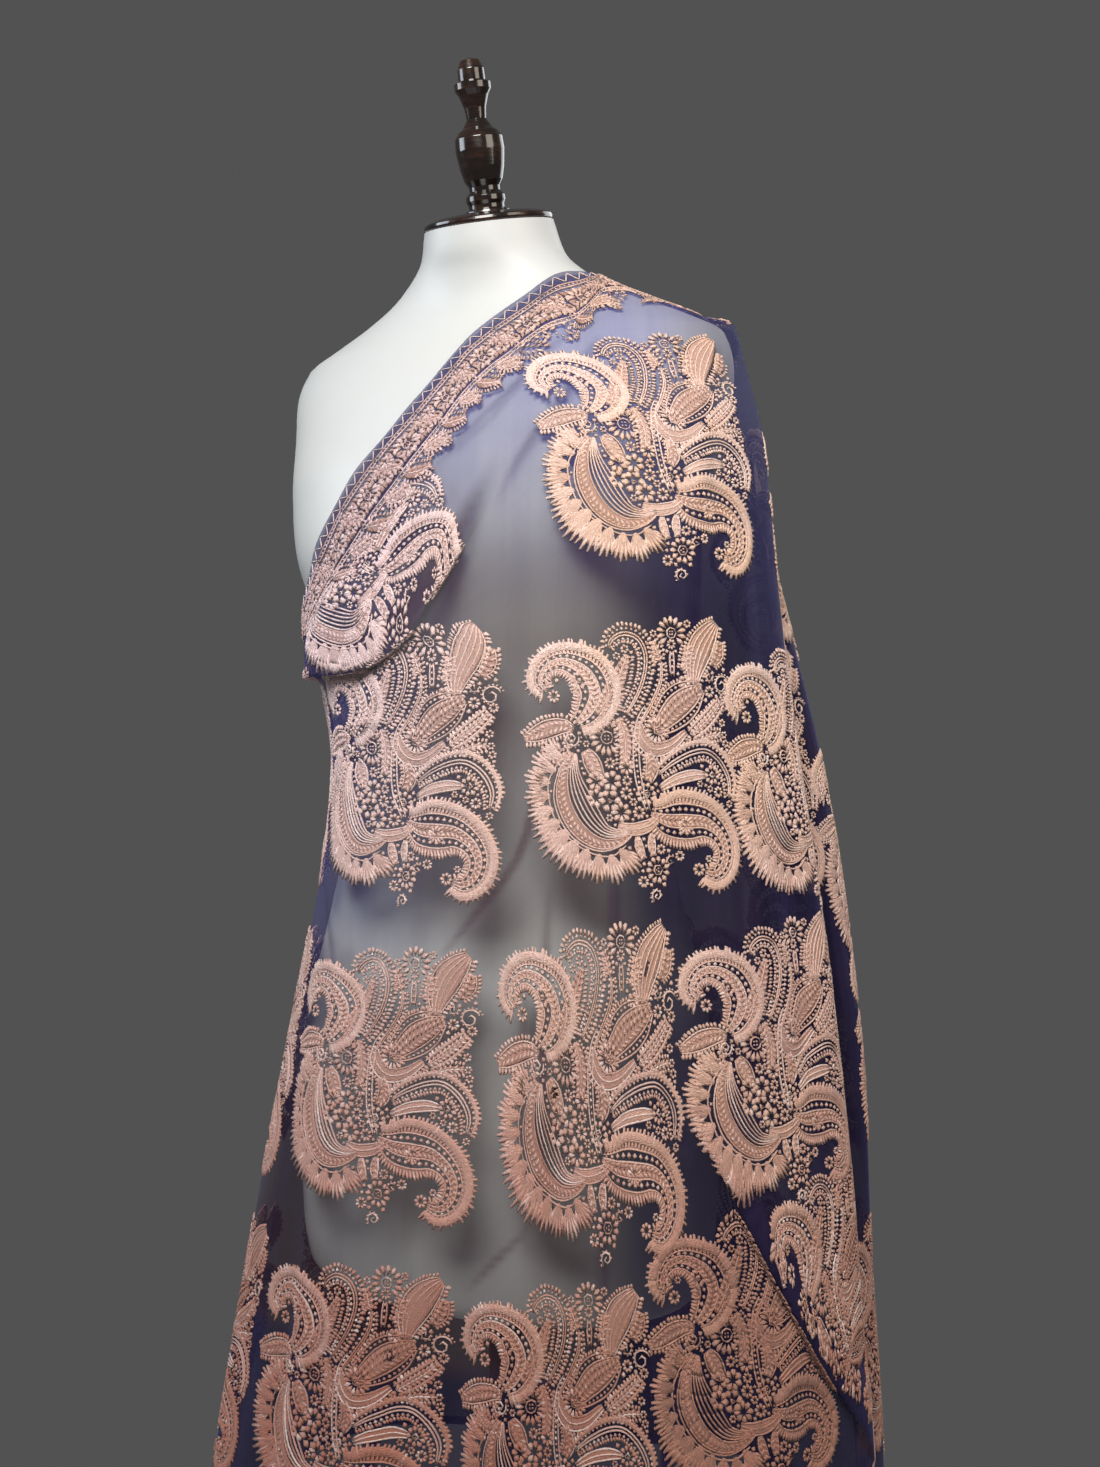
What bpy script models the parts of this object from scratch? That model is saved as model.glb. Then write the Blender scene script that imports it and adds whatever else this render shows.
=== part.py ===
"""Embroidered net dupatta worn over the left shoulder of a limbless dress form on a round stand.

The form faces -Y, its left shoulder is at +X, and the stand's foot rests on z = 0. A bearing is the
angle round the form's upright axis: 0 degrees is its front, 90 its left side, 180 its back.
The cloth is one long piece wound once round the form. Its three stretches are the back, which is under
the others, the front, and the fall, which hangs behind the left shoulder.
"""

import math
from typing import NamedTuple

import bmesh
import bpy
import numpy as np

# Driving dimensions of the form and its stand, in metres
FORM_BOTTOM = 0.620
NECK_TOP = 1.474
NECK_LEAN = math.radians(14.5)
NECK_FORWARD = 0.028
FORM_SIDES = 32
POLE_RADIUS = 0.0135
FLANGE_RADIUS = 0.042
FLANGE_DEEP = 0.006
BASE_RADIUS = 0.165
BASE_EDGE = 0.010
BASE_CROWN = 0.030
COLLAR_RADIUS = 0.024
COLLAR_TALL = 0.034
COLLAR_CHAMFER = 0.7
CAP_RADIUS = 0.0525
RING_STEP = 0.045
TILT_START = 1.430
SHARP_ANGLE = math.radians(40)
GAP = 0.0003

# Driving dimensions of the cloth
HEM = 0.406
EASE = 0.0013
SHOULDER_EASE = 0.0042
SHOULDER_LOW = 1.350
SHOULDER_HIGH = 1.385
WALL = 0.0015
STITCH = 0.0015
BORDER_WIDTH = 0.052
BORDER_THICK = 0.0010
LYING_FLOOR = 1.300
SEAM = 0.0004
BLEND = 0.004
NORMAL_STEP = 0.0015
HANG_TOP = 1.380
HANG_FADE = 0.030
LAYER_GAP = 0.0075
LAYER_START = 104.0
LAYER_FULL = 132.0
SEAM_RADIUS = 0.2
FOLD_ENTER = 0.35
FOLD_LEAVE = 0.15
LYING_TURN = 0.85
LYING_RISE = 0.10
HANGING_EASE = 0.55
PATCH_REACH = 1.35
PATCH_RIM = 0.35


class Section(NamedTuple):
    """One level cut of the torso: half its width, and its depth before and behind its centre."""

    height: float
    half_width: float
    front: float
    back: float
    forward: float
    fullness: float


TORSO = (
    Section(FORM_BOTTOM, 0.150, 0.100, 0.098, 0.000, 2.2),
    Section(0.624, 0.163, 0.112, 0.110, 0.000, 2.2),
    Section(0.636, 0.171, 0.119, 0.117, 0.000, 2.2),
    Section(0.670, 0.176, 0.124, 0.121, 0.000, 2.2),
    Section(0.760, 0.179, 0.127, 0.124, 0.000, 2.2),
    Section(0.840, 0.170, 0.121, 0.118, 0.000, 2.2),
    Section(0.930, 0.149, 0.107, 0.103, 0.000, 2.2),
    Section(1.000, 0.134, 0.098, 0.091, 0.000, 2.2),
    Section(1.045, 0.130, 0.096, 0.087, 0.000, 2.2),
    Section(1.095, 0.137, 0.104, 0.088, 0.000, 2.2),
    Section(1.150, 0.154, 0.123, 0.092, 0.000, 2.3),
    Section(1.210, 0.172, 0.140, 0.098, 0.000, 2.4),
    Section(1.260, 0.182, 0.134, 0.102, 0.000, 2.3),
    Section(1.310, 0.191, 0.115, 0.102, 0.000, 2.1),
    Section(1.350, 0.196, 0.096, 0.096, 0.000, 2.0),
    Section(1.374, 0.190, 0.082, 0.087, 0.000, 1.85),
    Section(1.389, 0.165, 0.073, 0.078, 0.001, 1.75),
    Section(1.404, 0.132, 0.066, 0.070, 0.004, 1.70),
    Section(1.418, 0.102, 0.061, 0.064, 0.009, 1.70),
    Section(1.434, 0.076, 0.058, 0.059, 0.015, 1.80),
    Section(1.450, 0.060, 0.056, 0.056, 0.021, 1.9),
    Section(NECK_TOP, 0.052, 0.052, 0.052, NECK_FORWARD, 2.0),
)


class Hang(NamedTuple):
    """How far out the cloth hangs at one bearing, from the shoulder down to the hem."""

    bearing: float
    shoulder: float
    chest: float
    underarm: float
    waist: float
    hip: float
    thigh: float
    hem: float


HANG_HEIGHTS = (HANG_TOP, 1.300, 1.183, 1.040, 0.850, 0.650, HEM)
HANGS = (
    Hang(-180, 0.060, 0.100, 0.112, 0.122, 0.146, 0.172, 0.200),
    Hang(-145, 0.060, 0.110, 0.130, 0.128, 0.156, 0.184, 0.214),
    Hang(-108, 0.060, 0.120, 0.156, 0.138, 0.166, 0.198, 0.236),
    Hang(-60, 0.060, 0.120, 0.160, 0.138, 0.168, 0.201, 0.244),
    Hang(-30, 0.060, 0.120, 0.156, 0.148, 0.168, 0.197, 0.228),
    Hang(0, 0.060, 0.120, 0.148, 0.152, 0.164, 0.184, 0.208),
    Hang(30, 0.070, 0.138, 0.164, 0.172, 0.186, 0.204, 0.224),
    Hang(62, 0.116, 0.180, 0.204, 0.214, 0.234, 0.254, 0.270),
    Hang(84, 0.178, 0.210, 0.222, 0.238, 0.264, 0.284, 0.298),
    Hang(93, 0.195, 0.216, 0.228, 0.246, 0.274, 0.292, 0.306),
    Hang(101, 0.178, 0.200, 0.213, 0.230, 0.256, 0.274, 0.290),
    Hang(113, 0.120, 0.187, 0.221, 0.255, 0.283, 0.294, 0.309),
    Hang(145, 0.060, 0.112, 0.150, 0.184, 0.212, 0.234, 0.256),
)


class Edge(NamedTuple):
    """A place on a stretch's top edge, and the bearing at which the cloth below it meets the hem."""

    bearing: float
    height: float
    hem_bearing: float


FRONT_EDGE = (
    Edge(-84, 1.148, -84),
    Edge(-64, 1.152, -59),
    Edge(-45, 1.190, -37),
    Edge(-27, 1.258, -18),
    Edge(-9, 1.320, -1),
    Edge(10, 1.370, 15),
    Edge(38, 1.401, 27),
    Edge(68, 1.424, 36),
    Edge(99, 1.428, 44),
    Edge(108, 1.413, 53),
    Edge(107, 1.398, 64),
    Edge(103, 1.386, 77),
    Edge(99, 1.370, 95),
)
FALL_EDGE = (
    Edge(99, 1.370, 95),
    Edge(108, 1.366, 108),
    Edge(122, 1.362, 122),
    Edge(140, 1.338, 139),
    Edge(160, 1.292, 157),
    Edge(182, 1.232, 176),
)
BACK_EDGE = (
    Edge(-222, 1.330, -222),
    Edge(-200, 1.305, -200),
    Edge(-175, 1.262, -175),
    Edge(-145, 1.212, -145),
    Edge(-112, 1.164, -112),
    Edge(-84, 1.148, -84),
)


class Fold(NamedTuple):
    """A soft ridge, or a trough where the depth is negative, that leans from its top to its foot."""

    top_bearing: float
    top: float
    foot_bearing: float
    foot: float
    half_width: float
    depth: float


FOLDS = (
    Fold(55, 1.130, 50, 0.300, 3.6, 0.0070),
    Fold(40, 0.960, 35, 0.480, 3.2, -0.0060),
    Fold(8, 1.090, -16, 0.830, 5.0, -0.0050),
    Fold(-14, 1.200, -44, 1.100, 6.0, 0.0080),
    Fold(-52, 0.900, -50, 0.300, 7.0, 0.0070),
    Fold(-30, 0.760, -26, 0.300, 5.0, -0.0060),
    Fold(-6, 0.720, -2, 0.300, 6.0, 0.0080),
    Fold(17, 0.690, 20, 0.300, 5.0, -0.0070),
    Fold(74, 0.700, 64, 0.300, 5.0, 0.0090),
    Fold(132, 1.240, 130, 0.300, 7.0, -0.0110),
    Fold(150, 1.150, 152, 0.300, 6.0, 0.0090),
    Fold(168, 1.000, 172, 0.300, 6.0, -0.0080),
    Fold(-166, 1.120, -163, 0.300, 7.0, 0.0120),
    Fold(-142, 0.980, -146, 0.300, 6.0, -0.0080),
    Fold(-122, 1.060, -120, 0.300, 7.0, 0.0110),
    Fold(-98, 0.940, -96, 0.300, 6.0, -0.0090),
    Fold(-80, 1.000, -78, 0.300, 5.0, 0.0060),
)


class Lap(NamedTuple):
    """A point on the lower edge of a lap, where the cloth above folds over the cloth below it."""

    bearing: float
    height: float
    rise: float


LAPS = (
    (
        Lap(-78, 1.120, 0.0000),
        Lap(-52, 1.124, 0.0070),
        Lap(-18, 1.128, 0.0080),
        Lap(-2, 1.146, 0.0080),
        Lap(18, 1.219, 0.0060),
        Lap(28, 1.262, 0.0000),
    ),
    (
        Lap(62, 0.800, 0.0000),
        Lap(70, 0.722, 0.0080),
        Lap(76, 0.664, 0.0090),
        Lap(83, 0.608, 0.0080),
        Lap(91, 0.552, 0.0060),
        Lap(98, 0.500, 0.0000),
    ),
)
LAP_ABOVE = 0.055
LAP_BELOW = 0.007


class Motif(NamedTuple):
    """A worked bouquet: where its middle lies on the hanging cloth, how wide it is and how it turns."""

    bearing: float
    height: float
    width: float
    turn: float


MOTIFS = (
    Motif(62, 1.272, 0.168, 0),
    Motif(-8, 1.222, 0.160, -38),
    Motif(112, 1.240, 0.160, 0),
    Motif(-8, 1.036, 0.166, 0),
    Motif(49, 1.044, 0.146, 0),
    Motif(89, 1.030, 0.160, 0),
    Motif(129, 1.030, 0.160, 0),
    Motif(166, 1.040, 0.160, 0),
    Motif(-10, 0.806, 0.170, 0),
    Motif(44, 0.812, 0.146, 0),
    Motif(77, 0.826, 0.160, 0),
    Motif(118, 0.806, 0.160, 0),
    Motif(157, 0.806, 0.160, 0),
    Motif(-12, 0.578, 0.170, 0),
    Motif(36, 0.582, 0.150, 0),
    Motif(76, 0.580, 0.160, 0),
    Motif(112, 0.578, 0.160, 0),
    Motif(150, 0.578, 0.160, 0),
    Motif(-72, 1.036, 0.160, 0),
    Motif(-130, 1.036, 0.160, 0),
    Motif(-190, 1.110, 0.160, 0),
    Motif(-68, 0.806, 0.160, 0),
    Motif(-122, 0.806, 0.160, 0),
    Motif(-176, 0.850, 0.160, 0),
    Motif(-62, 0.578, 0.160, 0),
    Motif(-112, 0.578, 0.160, 0),
    Motif(-162, 0.600, 0.160, 0),
)
MOTIF_WIDTH = 0.160


class Patch(NamedTuple):
    """A raised part of a bouquet: a turned oval, placed from the bouquet's middle."""

    across: float
    up: float
    half_long: float
    half_wide: float
    turn: float


PATCHES = (
    Patch(-0.030, -0.052, 0.042, 0.034, 20),
    Patch(0.036, -0.066, 0.040, 0.026, 140),
    Patch(-0.040, 0.042, 0.046, 0.024, 75),
    Patch(0.030, 0.046, 0.030, 0.026, 0),
    Patch(0.000, 0.000, 0.026, 0.026, 0),
    Patch(0.050, -0.006, 0.030, 0.014, 60),
    Patch(-0.004, 0.090, 0.022, 0.012, 90),
)


class Grid(NamedTuple):
    """How finely a stretch of cloth is faceted."""

    across: int
    down: int


FRONT_GRID = Grid(34, 52)
FALL_GRID = Grid(18, 44)
BACK_GRID = Grid(22, 36)
BORDER_SHARES = (0.0, 0.25, 0.62)
BORDER_ROWS = len(BORDER_SHARES)
SHORT_ROWS = 7
SHORT_STEP = 0.011
PROFILE_SAMPLES = 160
EDGE_SAMPLES = 400
HALVINGS = 30


class Turning(NamedTuple):
    """A point on a turned profile."""

    radius: float
    height: float


FINIAL = (
    Turning(0.0190, 0.0000),
    Turning(0.0145, 0.0033),
    Turning(0.0145, 0.0062),
    Turning(0.0160, 0.0091),
    Turning(0.0158, 0.0129),
    Turning(0.0125, 0.0167),
    Turning(0.0125, 0.0201),
    Turning(0.0155, 0.0248),
    Turning(0.0180, 0.0344),
    Turning(0.0198, 0.0478),
    Turning(0.0192, 0.0573),
    Turning(0.0158, 0.0621),
    Turning(0.0120, 0.0649),
    Turning(0.0078, 0.0716),
    Turning(0.0088, 0.0802),
    Turning(0.0118, 0.0893),
    Turning(0.0146, 0.0936),
    Turning(0.0146, 0.0984),
    Turning(0.0108, 0.1003),
    Turning(0.0106, 0.1089),
    Turning(0.0075, 0.1156),
    Turning(0.0000, 0.1179),
)
CAP = (
    Turning(0.0000, 0.0000),
    Turning(CAP_RADIUS, 0.0000),
    Turning(CAP_RADIUS, 0.0050),
    Turning(0.0440, 0.0075),
    Turning(0.0250, 0.0100),
    Turning(0.0000, 0.0100),
)
TURNED_STEPS = 16


def smooth(xs, ys, x):
    """Monotone cubic curve through the points (xs, ys), read at x."""
    xs, ys, x = (np.asarray(v, dtype=float) for v in (xs, ys, x))
    step, rise = np.diff(xs), np.diff(ys)
    slope = rise / step
    inner = np.where(
        slope[1:] * slope[:-1] > 0, 2 * slope[1:] * slope[:-1] / (slope[1:] + slope[:-1] + 1e-30), 0
    )
    ends = np.concatenate(([slope[0]], inner, [slope[-1]]))
    i = np.clip(np.searchsorted(xs, x) - 1, 0, len(xs) - 2)
    t = np.clip((x - xs[i]) / step[i], 0, 1)
    return (
        ys[i] * (1 + 2 * t) * (1 - t) ** 2
        + ys[i + 1] * t * t * (3 - 2 * t)
        + step[i] * (ends[i] * t * (1 - t) ** 2 - ends[i + 1] * t * t * (1 - t))
    )


def column(table, name, x, key):
    """One named column of a table, read smoothly at x."""
    return smooth([getattr(row, key) for row in table], [getattr(row, name) for row in table], x)


def forward_of(height):
    """How far the form's centre line leans forward at a height."""
    return column(TORSO, "forward", height, "height")


def form_radius(bearing, height):
    """The form's radius from its centre line: a superellipse with its own front and back."""
    side = np.sin(np.radians(bearing))
    ahead = np.cos(np.radians(bearing))
    width = column(TORSO, "half_width", height, "height")
    front = column(TORSO, "front", height, "height")
    back = column(TORSO, "back", height, "height")
    n = column(TORSO, "fullness", height, "height")
    depth = np.where(ahead > 0, front, back)
    radius = (np.abs(side / width) ** n + np.abs(ahead / depth) ** n) ** (-1 / n)
    return np.where(height > NECK_TOP, 0, radius)


def hang_radius(bearing, height):
    """Where the cloth hangs clear of the form, read round the bearings and then down the heights."""
    turn = (np.asarray(bearing) + 180) % 360 - 180
    rows = [*HANGS, HANGS[0]._replace(bearing=180)]
    bearings = [row.bearing for row in rows]
    levels = [smooth(bearings, [row[i + 1] for row in rows], turn) for i in range(len(HANG_HEIGHTS))]
    heights = np.array(HANG_HEIGHTS[::-1])
    values = np.stack(levels[::-1], axis=-1)
    at = np.clip(height, HEM, HANG_TOP)
    i = np.clip(np.searchsorted(heights, at) - 1, 0, len(heights) - 2)
    t = (at - heights[i]) / (heights[i + 1] - heights[i])
    last = len(heights) - 1
    take = lambda k: np.take_along_axis(values, np.clip(k, 0, last)[..., None], -1)[..., 0]
    before, low, high, after = take(i - 1), take(i), take(i + 1), take(i + 2)
    span = heights[i + 1] - heights[i]
    enter = (high - before) / (heights[i + 1] - heights[np.clip(i - 1, 0, last)]) * span
    leave = (after - low) / (heights[np.clip(i + 2, 0, last)] - heights[i]) * span
    radius = (
        low * (1 + 2 * t) * (1 - t) ** 2 + high * t * t * (3 - 2 * t)
        + enter * t * (1 - t) ** 2 - leave * t * t * (1 - t)
    )
    fade = np.clip((np.asarray(height) - HANG_TOP) / HANG_FADE, 0, 1)
    return radius * (1 - fade * fade * (3 - 2 * fade))


def fold_relief(bearing, height):
    """The sum of the folds: each is a bell across its own leaning line, easing in at its ends."""
    out = np.zeros(np.broadcast(bearing, height).shape)
    for fold in FOLDS:
        along = (fold.top - height) / (fold.top - fold.foot)
        line = fold.top_bearing + (fold.foot_bearing - fold.top_bearing) * along
        off = ((bearing - line + 180) % 360 - 180) / fold.half_width
        ends = np.clip(along / FOLD_ENTER, 0, 1) * np.clip((1 - along) / FOLD_LEAVE, 0, 1)
        out += fold.depth * np.exp(-off * off) * ends * ends * (3 - 2 * ends)
    return out


def lap_relief(bearing, height):
    """How far the laps stand out: a long slope above each lower edge, and a steep drop below it."""
    turn = (np.asarray(bearing) + 180) % 360 - 180
    out = np.zeros(np.broadcast(bearing, height).shape)
    for lap in LAPS:
        line = column(lap, "height", turn, "bearing")
        rise = column(lap, "rise", turn, "bearing")
        off = height - line
        out += rise * np.exp(-((off / np.where(off > 0, LAP_ABOVE, LAP_BELOW)) ** 2))
    return out


def cloth_radius(bearing, height, over):
    """The cloth's inner face: it lies on the form with a little ease, or hangs further out.

    Where over is 1, the stretch also rises over the one beneath it, from LAYER_START on.
    """
    level = np.clip((height - SHOULDER_LOW) / (SHOULDER_HIGH - SHOULDER_LOW), 0, 1)
    near = form_radius(bearing, height) + EASE + (SHOULDER_EASE - EASE) * level
    far = hang_radius(bearing, height) + fold_relief(bearing, height)
    far = far + lap_relief(bearing, height)
    rise = np.clip((bearing - LAYER_START) / (LAYER_FULL - LAYER_START), 0, 1)
    lift = over * LAYER_GAP * rise * rise * (3 - 2 * rise)
    return np.maximum(near, far) + BLEND / 2 * np.exp(-np.abs(near - far) / BLEND) + lift


def place(bearing, height, radius):
    """The point at a bearing, height and radius from the leaning centre line."""
    angle = np.radians(bearing)
    return np.stack(
        (radius * np.sin(angle), -forward_of(height) - radius * np.cos(angle), height + 0 * angle), -1
    )


def height_over(x, y, low, over):
    """The cloth's height over a plan point near the shoulder, by halving the range of heights."""
    bottom, top = np.full_like(x, low), np.full_like(x, NECK_TOP)
    for _ in range(HALVINGS):
        middle = (bottom + top) / 2
        ahead = -(y + forward_of(middle))
        bearing = np.degrees(np.arctan2(x, ahead))
        inside = np.hypot(x, ahead) <= cloth_radius(bearing, middle, over)
        bottom, top = np.where(inside, middle, bottom), np.where(inside, top, middle)
    return bottom


def profile(edge, over):
    """The cloth's line from a place on its top edge down to the hem, as close points.

    Where the edge lies above LYING_FLOOR, the line first runs straight in plan over the shoulder or
    chest. Below that it hangs, and its bearing eases over to the hem's.
    """
    start_height = min(LYING_FLOOR, edge.height)
    turn = edge.hem_bearing if edge.height > LYING_FLOOR else edge.bearing
    share = np.clip((edge.height - LYING_FLOOR) / LYING_RISE, 0, 1)
    leave = edge.bearing + (turn - edge.bearing) * share * LYING_TURN
    points = []
    if edge.height > LYING_FLOOR:
        first = place(edge.bearing, edge.height, cloth_radius(edge.bearing, edge.height, over))
        last = place(leave, start_height, cloth_radius(leave, start_height, over))
        t = np.linspace(0, 1, PROFILE_SAMPLES)[:-1, None]
        plan = first[:2] + (last[:2] - first[:2]) * t
        level = height_over(plan[:, 0], plan[:, 1], start_height, over)
        points.append(np.column_stack((plan, level)))
    heights = np.linspace(start_height, HEM, PROFILE_SAMPLES)
    down = (start_height - heights) / (start_height - HEM)
    ease = 1 - (1 - np.clip(down / HANGING_EASE, 0, 1)) ** 2
    bearings = leave + (edge.hem_bearing - leave) * ease
    points.append(place(bearings, heights, cloth_radius(bearings, heights, over)))
    return np.concatenate(points)


def stations(edges, count):
    """Places along a top edge, evenly spaced by the mean of their shares along the edge and the hem."""
    at = np.linspace(0, len(edges) - 1, EDGE_SAMPLES)
    knots = np.arange(len(edges))
    fine = [smooth(knots, [row[i] for row in edges], at) for i in range(3)]
    top = place(fine[0], fine[1], cloth_radius(fine[0], fine[1], 0))
    foot = place(fine[2], np.full_like(at, HEM), cloth_radius(fine[2], np.full_like(at, HEM), 0))
    share = 0
    for line in (top, foot):
        length = np.concatenate(([0], np.cumsum(np.linalg.norm(np.diff(line, axis=0), axis=1))))
        share = share + length / length[-1] / 2
    pick = np.interp(np.linspace(0, 1, count + 1), share, at)
    return [Edge(*(float(np.interp(p, at, values)) for values in fine)) for p in pick]


def row_places(length, rows):
    """Distances below the top edge: the border's rows, short steps over the shoulder, then even ones."""
    border = np.array(BORDER_SHARES) * BORDER_WIDTH
    short = BORDER_WIDTH + SHORT_STEP * np.arange(SHORT_ROWS)
    long = np.linspace(BORDER_WIDTH + SHORT_STEP * SHORT_ROWS, length, rows - BORDER_ROWS - SHORT_ROWS + 1)
    return np.concatenate((border, short, long))


def stretch_points(edges, grid, over):
    """A stretch's inner face as a grid of points, rows down and columns across."""
    columns = []
    for edge in stations(edges, grid.across):
        line = profile(edge, over)
        length = np.concatenate(([0], np.cumsum(np.linalg.norm(np.diff(line, axis=0), axis=1))))
        rows = row_places(length[-1], grid.down)
        columns.append(np.stack([np.interp(rows, length, line[:, k]) for k in range(3)], -1))
    return np.stack(columns, 1)


def outward(points, over):
    """Unit normals of the cloth at its points: the slope of how far a point lies outside it."""

    def outside(at):
        ahead = -(at[..., 1] + forward_of(at[..., 2]))
        bearing = np.degrees(np.arctan2(at[..., 0], ahead))
        bearing = np.where((bearing < 0) & (over > 0), bearing + 360, bearing)
        return np.hypot(at[..., 0], ahead) - cloth_radius(bearing, at[..., 2], over)

    steps = np.eye(3) * NORMAL_STEP
    normal = np.stack([outside(points + step) - outside(points - step) for step in steps], -1)
    return normal / np.linalg.norm(normal, axis=-1, keepdims=True)


def stitch_relief(points):
    """How high the embroidery stands: each bouquet is a few ovals with soft rims."""
    bearing = np.degrees(np.arctan2(points[..., 0], -points[..., 1]))
    radius = np.hypot(points[..., 0], points[..., 1])
    raised = np.zeros(points.shape[:2])
    for motif in MOTIFS:
        along = np.radians((bearing - motif.bearing + 180) % 360 - 180) * radius
        rise = points[..., 2] - motif.height
        cm, sm = math.cos(math.radians(motif.turn)), math.sin(math.radians(motif.turn))
        across = (along * cm + rise * sm) * MOTIF_WIDTH / motif.width
        up = rise * cm - along * sm
        for patch in PATCHES:
            c, s = math.cos(math.radians(patch.turn)), math.sin(math.radians(patch.turn))
            x, y = across - patch.across, up - patch.up
            off = np.hypot((x * c + y * s) / patch.half_long, (y * c - x * s) / patch.half_wide)
            raised = np.maximum(raised, np.clip((PATCH_REACH - off) / PATCH_RIM, 0, 1))
    return raised * STITCH


def wall_mesh(name, inner, outer, keep_rows):
    """A closed wall from two grids of points. The inner face uses the rows in keep_rows alone."""
    rows, columns = outer.shape[:2]
    kept = inner[keep_rows]
    vertices = [*outer.reshape(-1, 3), *kept.reshape(-1, 3)]
    out = lambda r, c: r * columns + c
    back = lambda k, c: rows * columns + k * columns + c
    faces = []
    for r in range(rows - 1):
        for c in range(columns - 1):
            faces.append((out(r, c), out(r + 1, c), out(r + 1, c + 1), out(r, c + 1)))
    for k in range(len(keep_rows) - 1):
        for c in range(columns - 1):
            faces.append((back(k, c), back(k, c + 1), back(k + 1, c + 1), back(k + 1, c)))
    for c in range(columns - 1):
        faces.append((out(0, c), out(0, c + 1), back(0, c + 1), back(0, c)))
        last = len(keep_rows) - 1
        faces.append((out(rows - 1, c + 1), out(rows - 1, c), back(last, c), back(last, c + 1)))
    for k in range(len(keep_rows) - 1):
        for c, turned in ((0, False), (columns - 1, True)):
            ladder = [out(r, c) for r in range(keep_rows[k], keep_rows[k + 1] + 1)]
            loop = [*ladder, back(k + 1, c), back(k, c)]
            faces.append(tuple(loop) if turned else tuple(reversed(loop)))
    mesh = bpy.data.meshes.new(name)
    mesh.from_pydata(vertices, [], faces)
    return face_out(mesh)


def face_out(mesh):
    """Splits the faces into triangles and turns them all outwards."""
    bm = bmesh.new()
    bm.from_mesh(mesh)
    bmesh.ops.triangulate(bm, faces=bm.faces[:], quad_method="SHORT_EDGE", ngon_method="EAR_CLIP")
    bmesh.ops.recalc_face_normals(bm, faces=bm.faces[:])
    bm.to_mesh(mesh)
    bm.free()
    return mesh


def material(name, colour, roughness, metallic=0.0, sheen=0.0):
    """A plain Principled material."""
    made = bpy.data.materials.new(name)
    made.use_nodes = True
    node = made.node_tree.nodes["Principled BSDF"]
    node.inputs["Base Color"].default_value = (*colour, 1)
    node.inputs["Roughness"].default_value = roughness
    node.inputs["Metallic"].default_value = metallic
    node.inputs["Sheen Weight"].default_value = sheen
    return made


def put(collection, mesh, name, made):
    """Adds a mesh to the collection as a named object with its material."""
    thing = bpy.data.objects.new(name, mesh)
    mesh.materials.append(made)
    collection.objects.link(thing)
    mesh.shade_smooth()
    mesh.set_sharp_from_angle(angle=SHARP_ANGLE)
    return thing


def trimmed(edges, start, end):
    """The stretch's edges, drawn in by half a seam at each end that meets another stretch."""
    first, last = edges[0], edges[-1]
    step = math.degrees(SEAM / SEAM_RADIUS)
    first = first._replace(bearing=first.bearing + start * step, hem_bearing=first.hem_bearing + start * step)
    last = last._replace(bearing=last.bearing - end * step, hem_bearing=last.hem_bearing - end * step)
    return (first, *edges[1:-1], last)


def cloth_stretch(collection, name, edges, grid, over, made):
    """A stretch of net with its bouquets raised on the outer face, and the border sewn along its top."""
    inner = stretch_points(edges, grid, over)
    normal = outward(inner, over)
    relief = stitch_relief(inner)
    relief[: BORDER_ROWS + 1] = 0
    relief[:, 0] = relief[:, -1] = relief[-1] = 0
    outer = inner + normal * (WALL + relief)[..., None]
    top = BORDER_ROWS + SHORT_ROWS
    keep = [*range(top + 1), *range(top + 2, grid.down, 2), grid.down]
    put(collection, wall_mesh(f"dupatta_{name}", inner, outer, keep), f"dupatta_{name}", made["net"])
    rows = slice(0, BORDER_ROWS + 1)
    band_in = inner[rows] + normal[rows] * (WALL + GAP)
    band_out = band_in + normal[rows] * BORDER_THICK
    band = wall_mesh(f"border_{name}", band_in, band_out, list(range(BORDER_ROWS + 1)))
    put(collection, band, f"border_{name}", made["border"])


def dress_form(collection, made):
    """The torso: rings of the section table, with the neck's top tilted to its lean."""
    heights = [row.height for row in TORSO]
    between = [(a + b) / 2 for a, b in zip(heights, heights[1:]) if b - a > RING_STEP]
    bearings = np.arange(FORM_SIDES) * 360 / FORM_SIDES
    rings = []
    for height in sorted(heights + between):
        ring = place(bearings, height, form_radius(bearings, height))
        tilt = np.clip((height - TILT_START) / (NECK_TOP - TILT_START), 0, 1) * math.tan(NECK_LEAN)
        ring[:, 2] += tilt * (ring[:, 1] + forward_of(height))
        rings.append(ring)
    vertices = np.concatenate(rings)
    faces = []
    for k in range(len(rings) - 1):
        for j in range(FORM_SIDES):
            a, b = k * FORM_SIDES + j, k * FORM_SIDES + (j + 1) % FORM_SIDES
            faces.append((a, b, b + FORM_SIDES, a + FORM_SIDES))
    faces.append(tuple(reversed(range(FORM_SIDES))))
    faces.append(tuple(range(len(vertices) - FORM_SIDES, len(vertices))))
    mesh = bpy.data.meshes.new("form_torso")
    mesh.from_pydata([tuple(v) for v in vertices], [], faces)
    put(collection, face_out(mesh), "form_torso", made["form"])


def turned(collection, name, outline, steps, made):
    """A closed turned piece: the outline runs from its top on the axis down to its foot on the axis."""
    mesh = bpy.data.meshes.new(name)
    points = [(row.radius, 0, row.height) for row in outline]
    mesh.from_pydata(points, [(i, i + 1) for i in range(len(points) - 1)], [])
    thing = put(collection, mesh, name, made)
    screw = thing.modifiers.new("turn", "SCREW")
    screw.axis = "Z"
    screw.steps = screw.render_steps = steps
    screw.use_merge_vertices = True
    screw.merge_threshold = 0.00005
    screw.use_smooth_shade = True
    return thing


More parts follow.
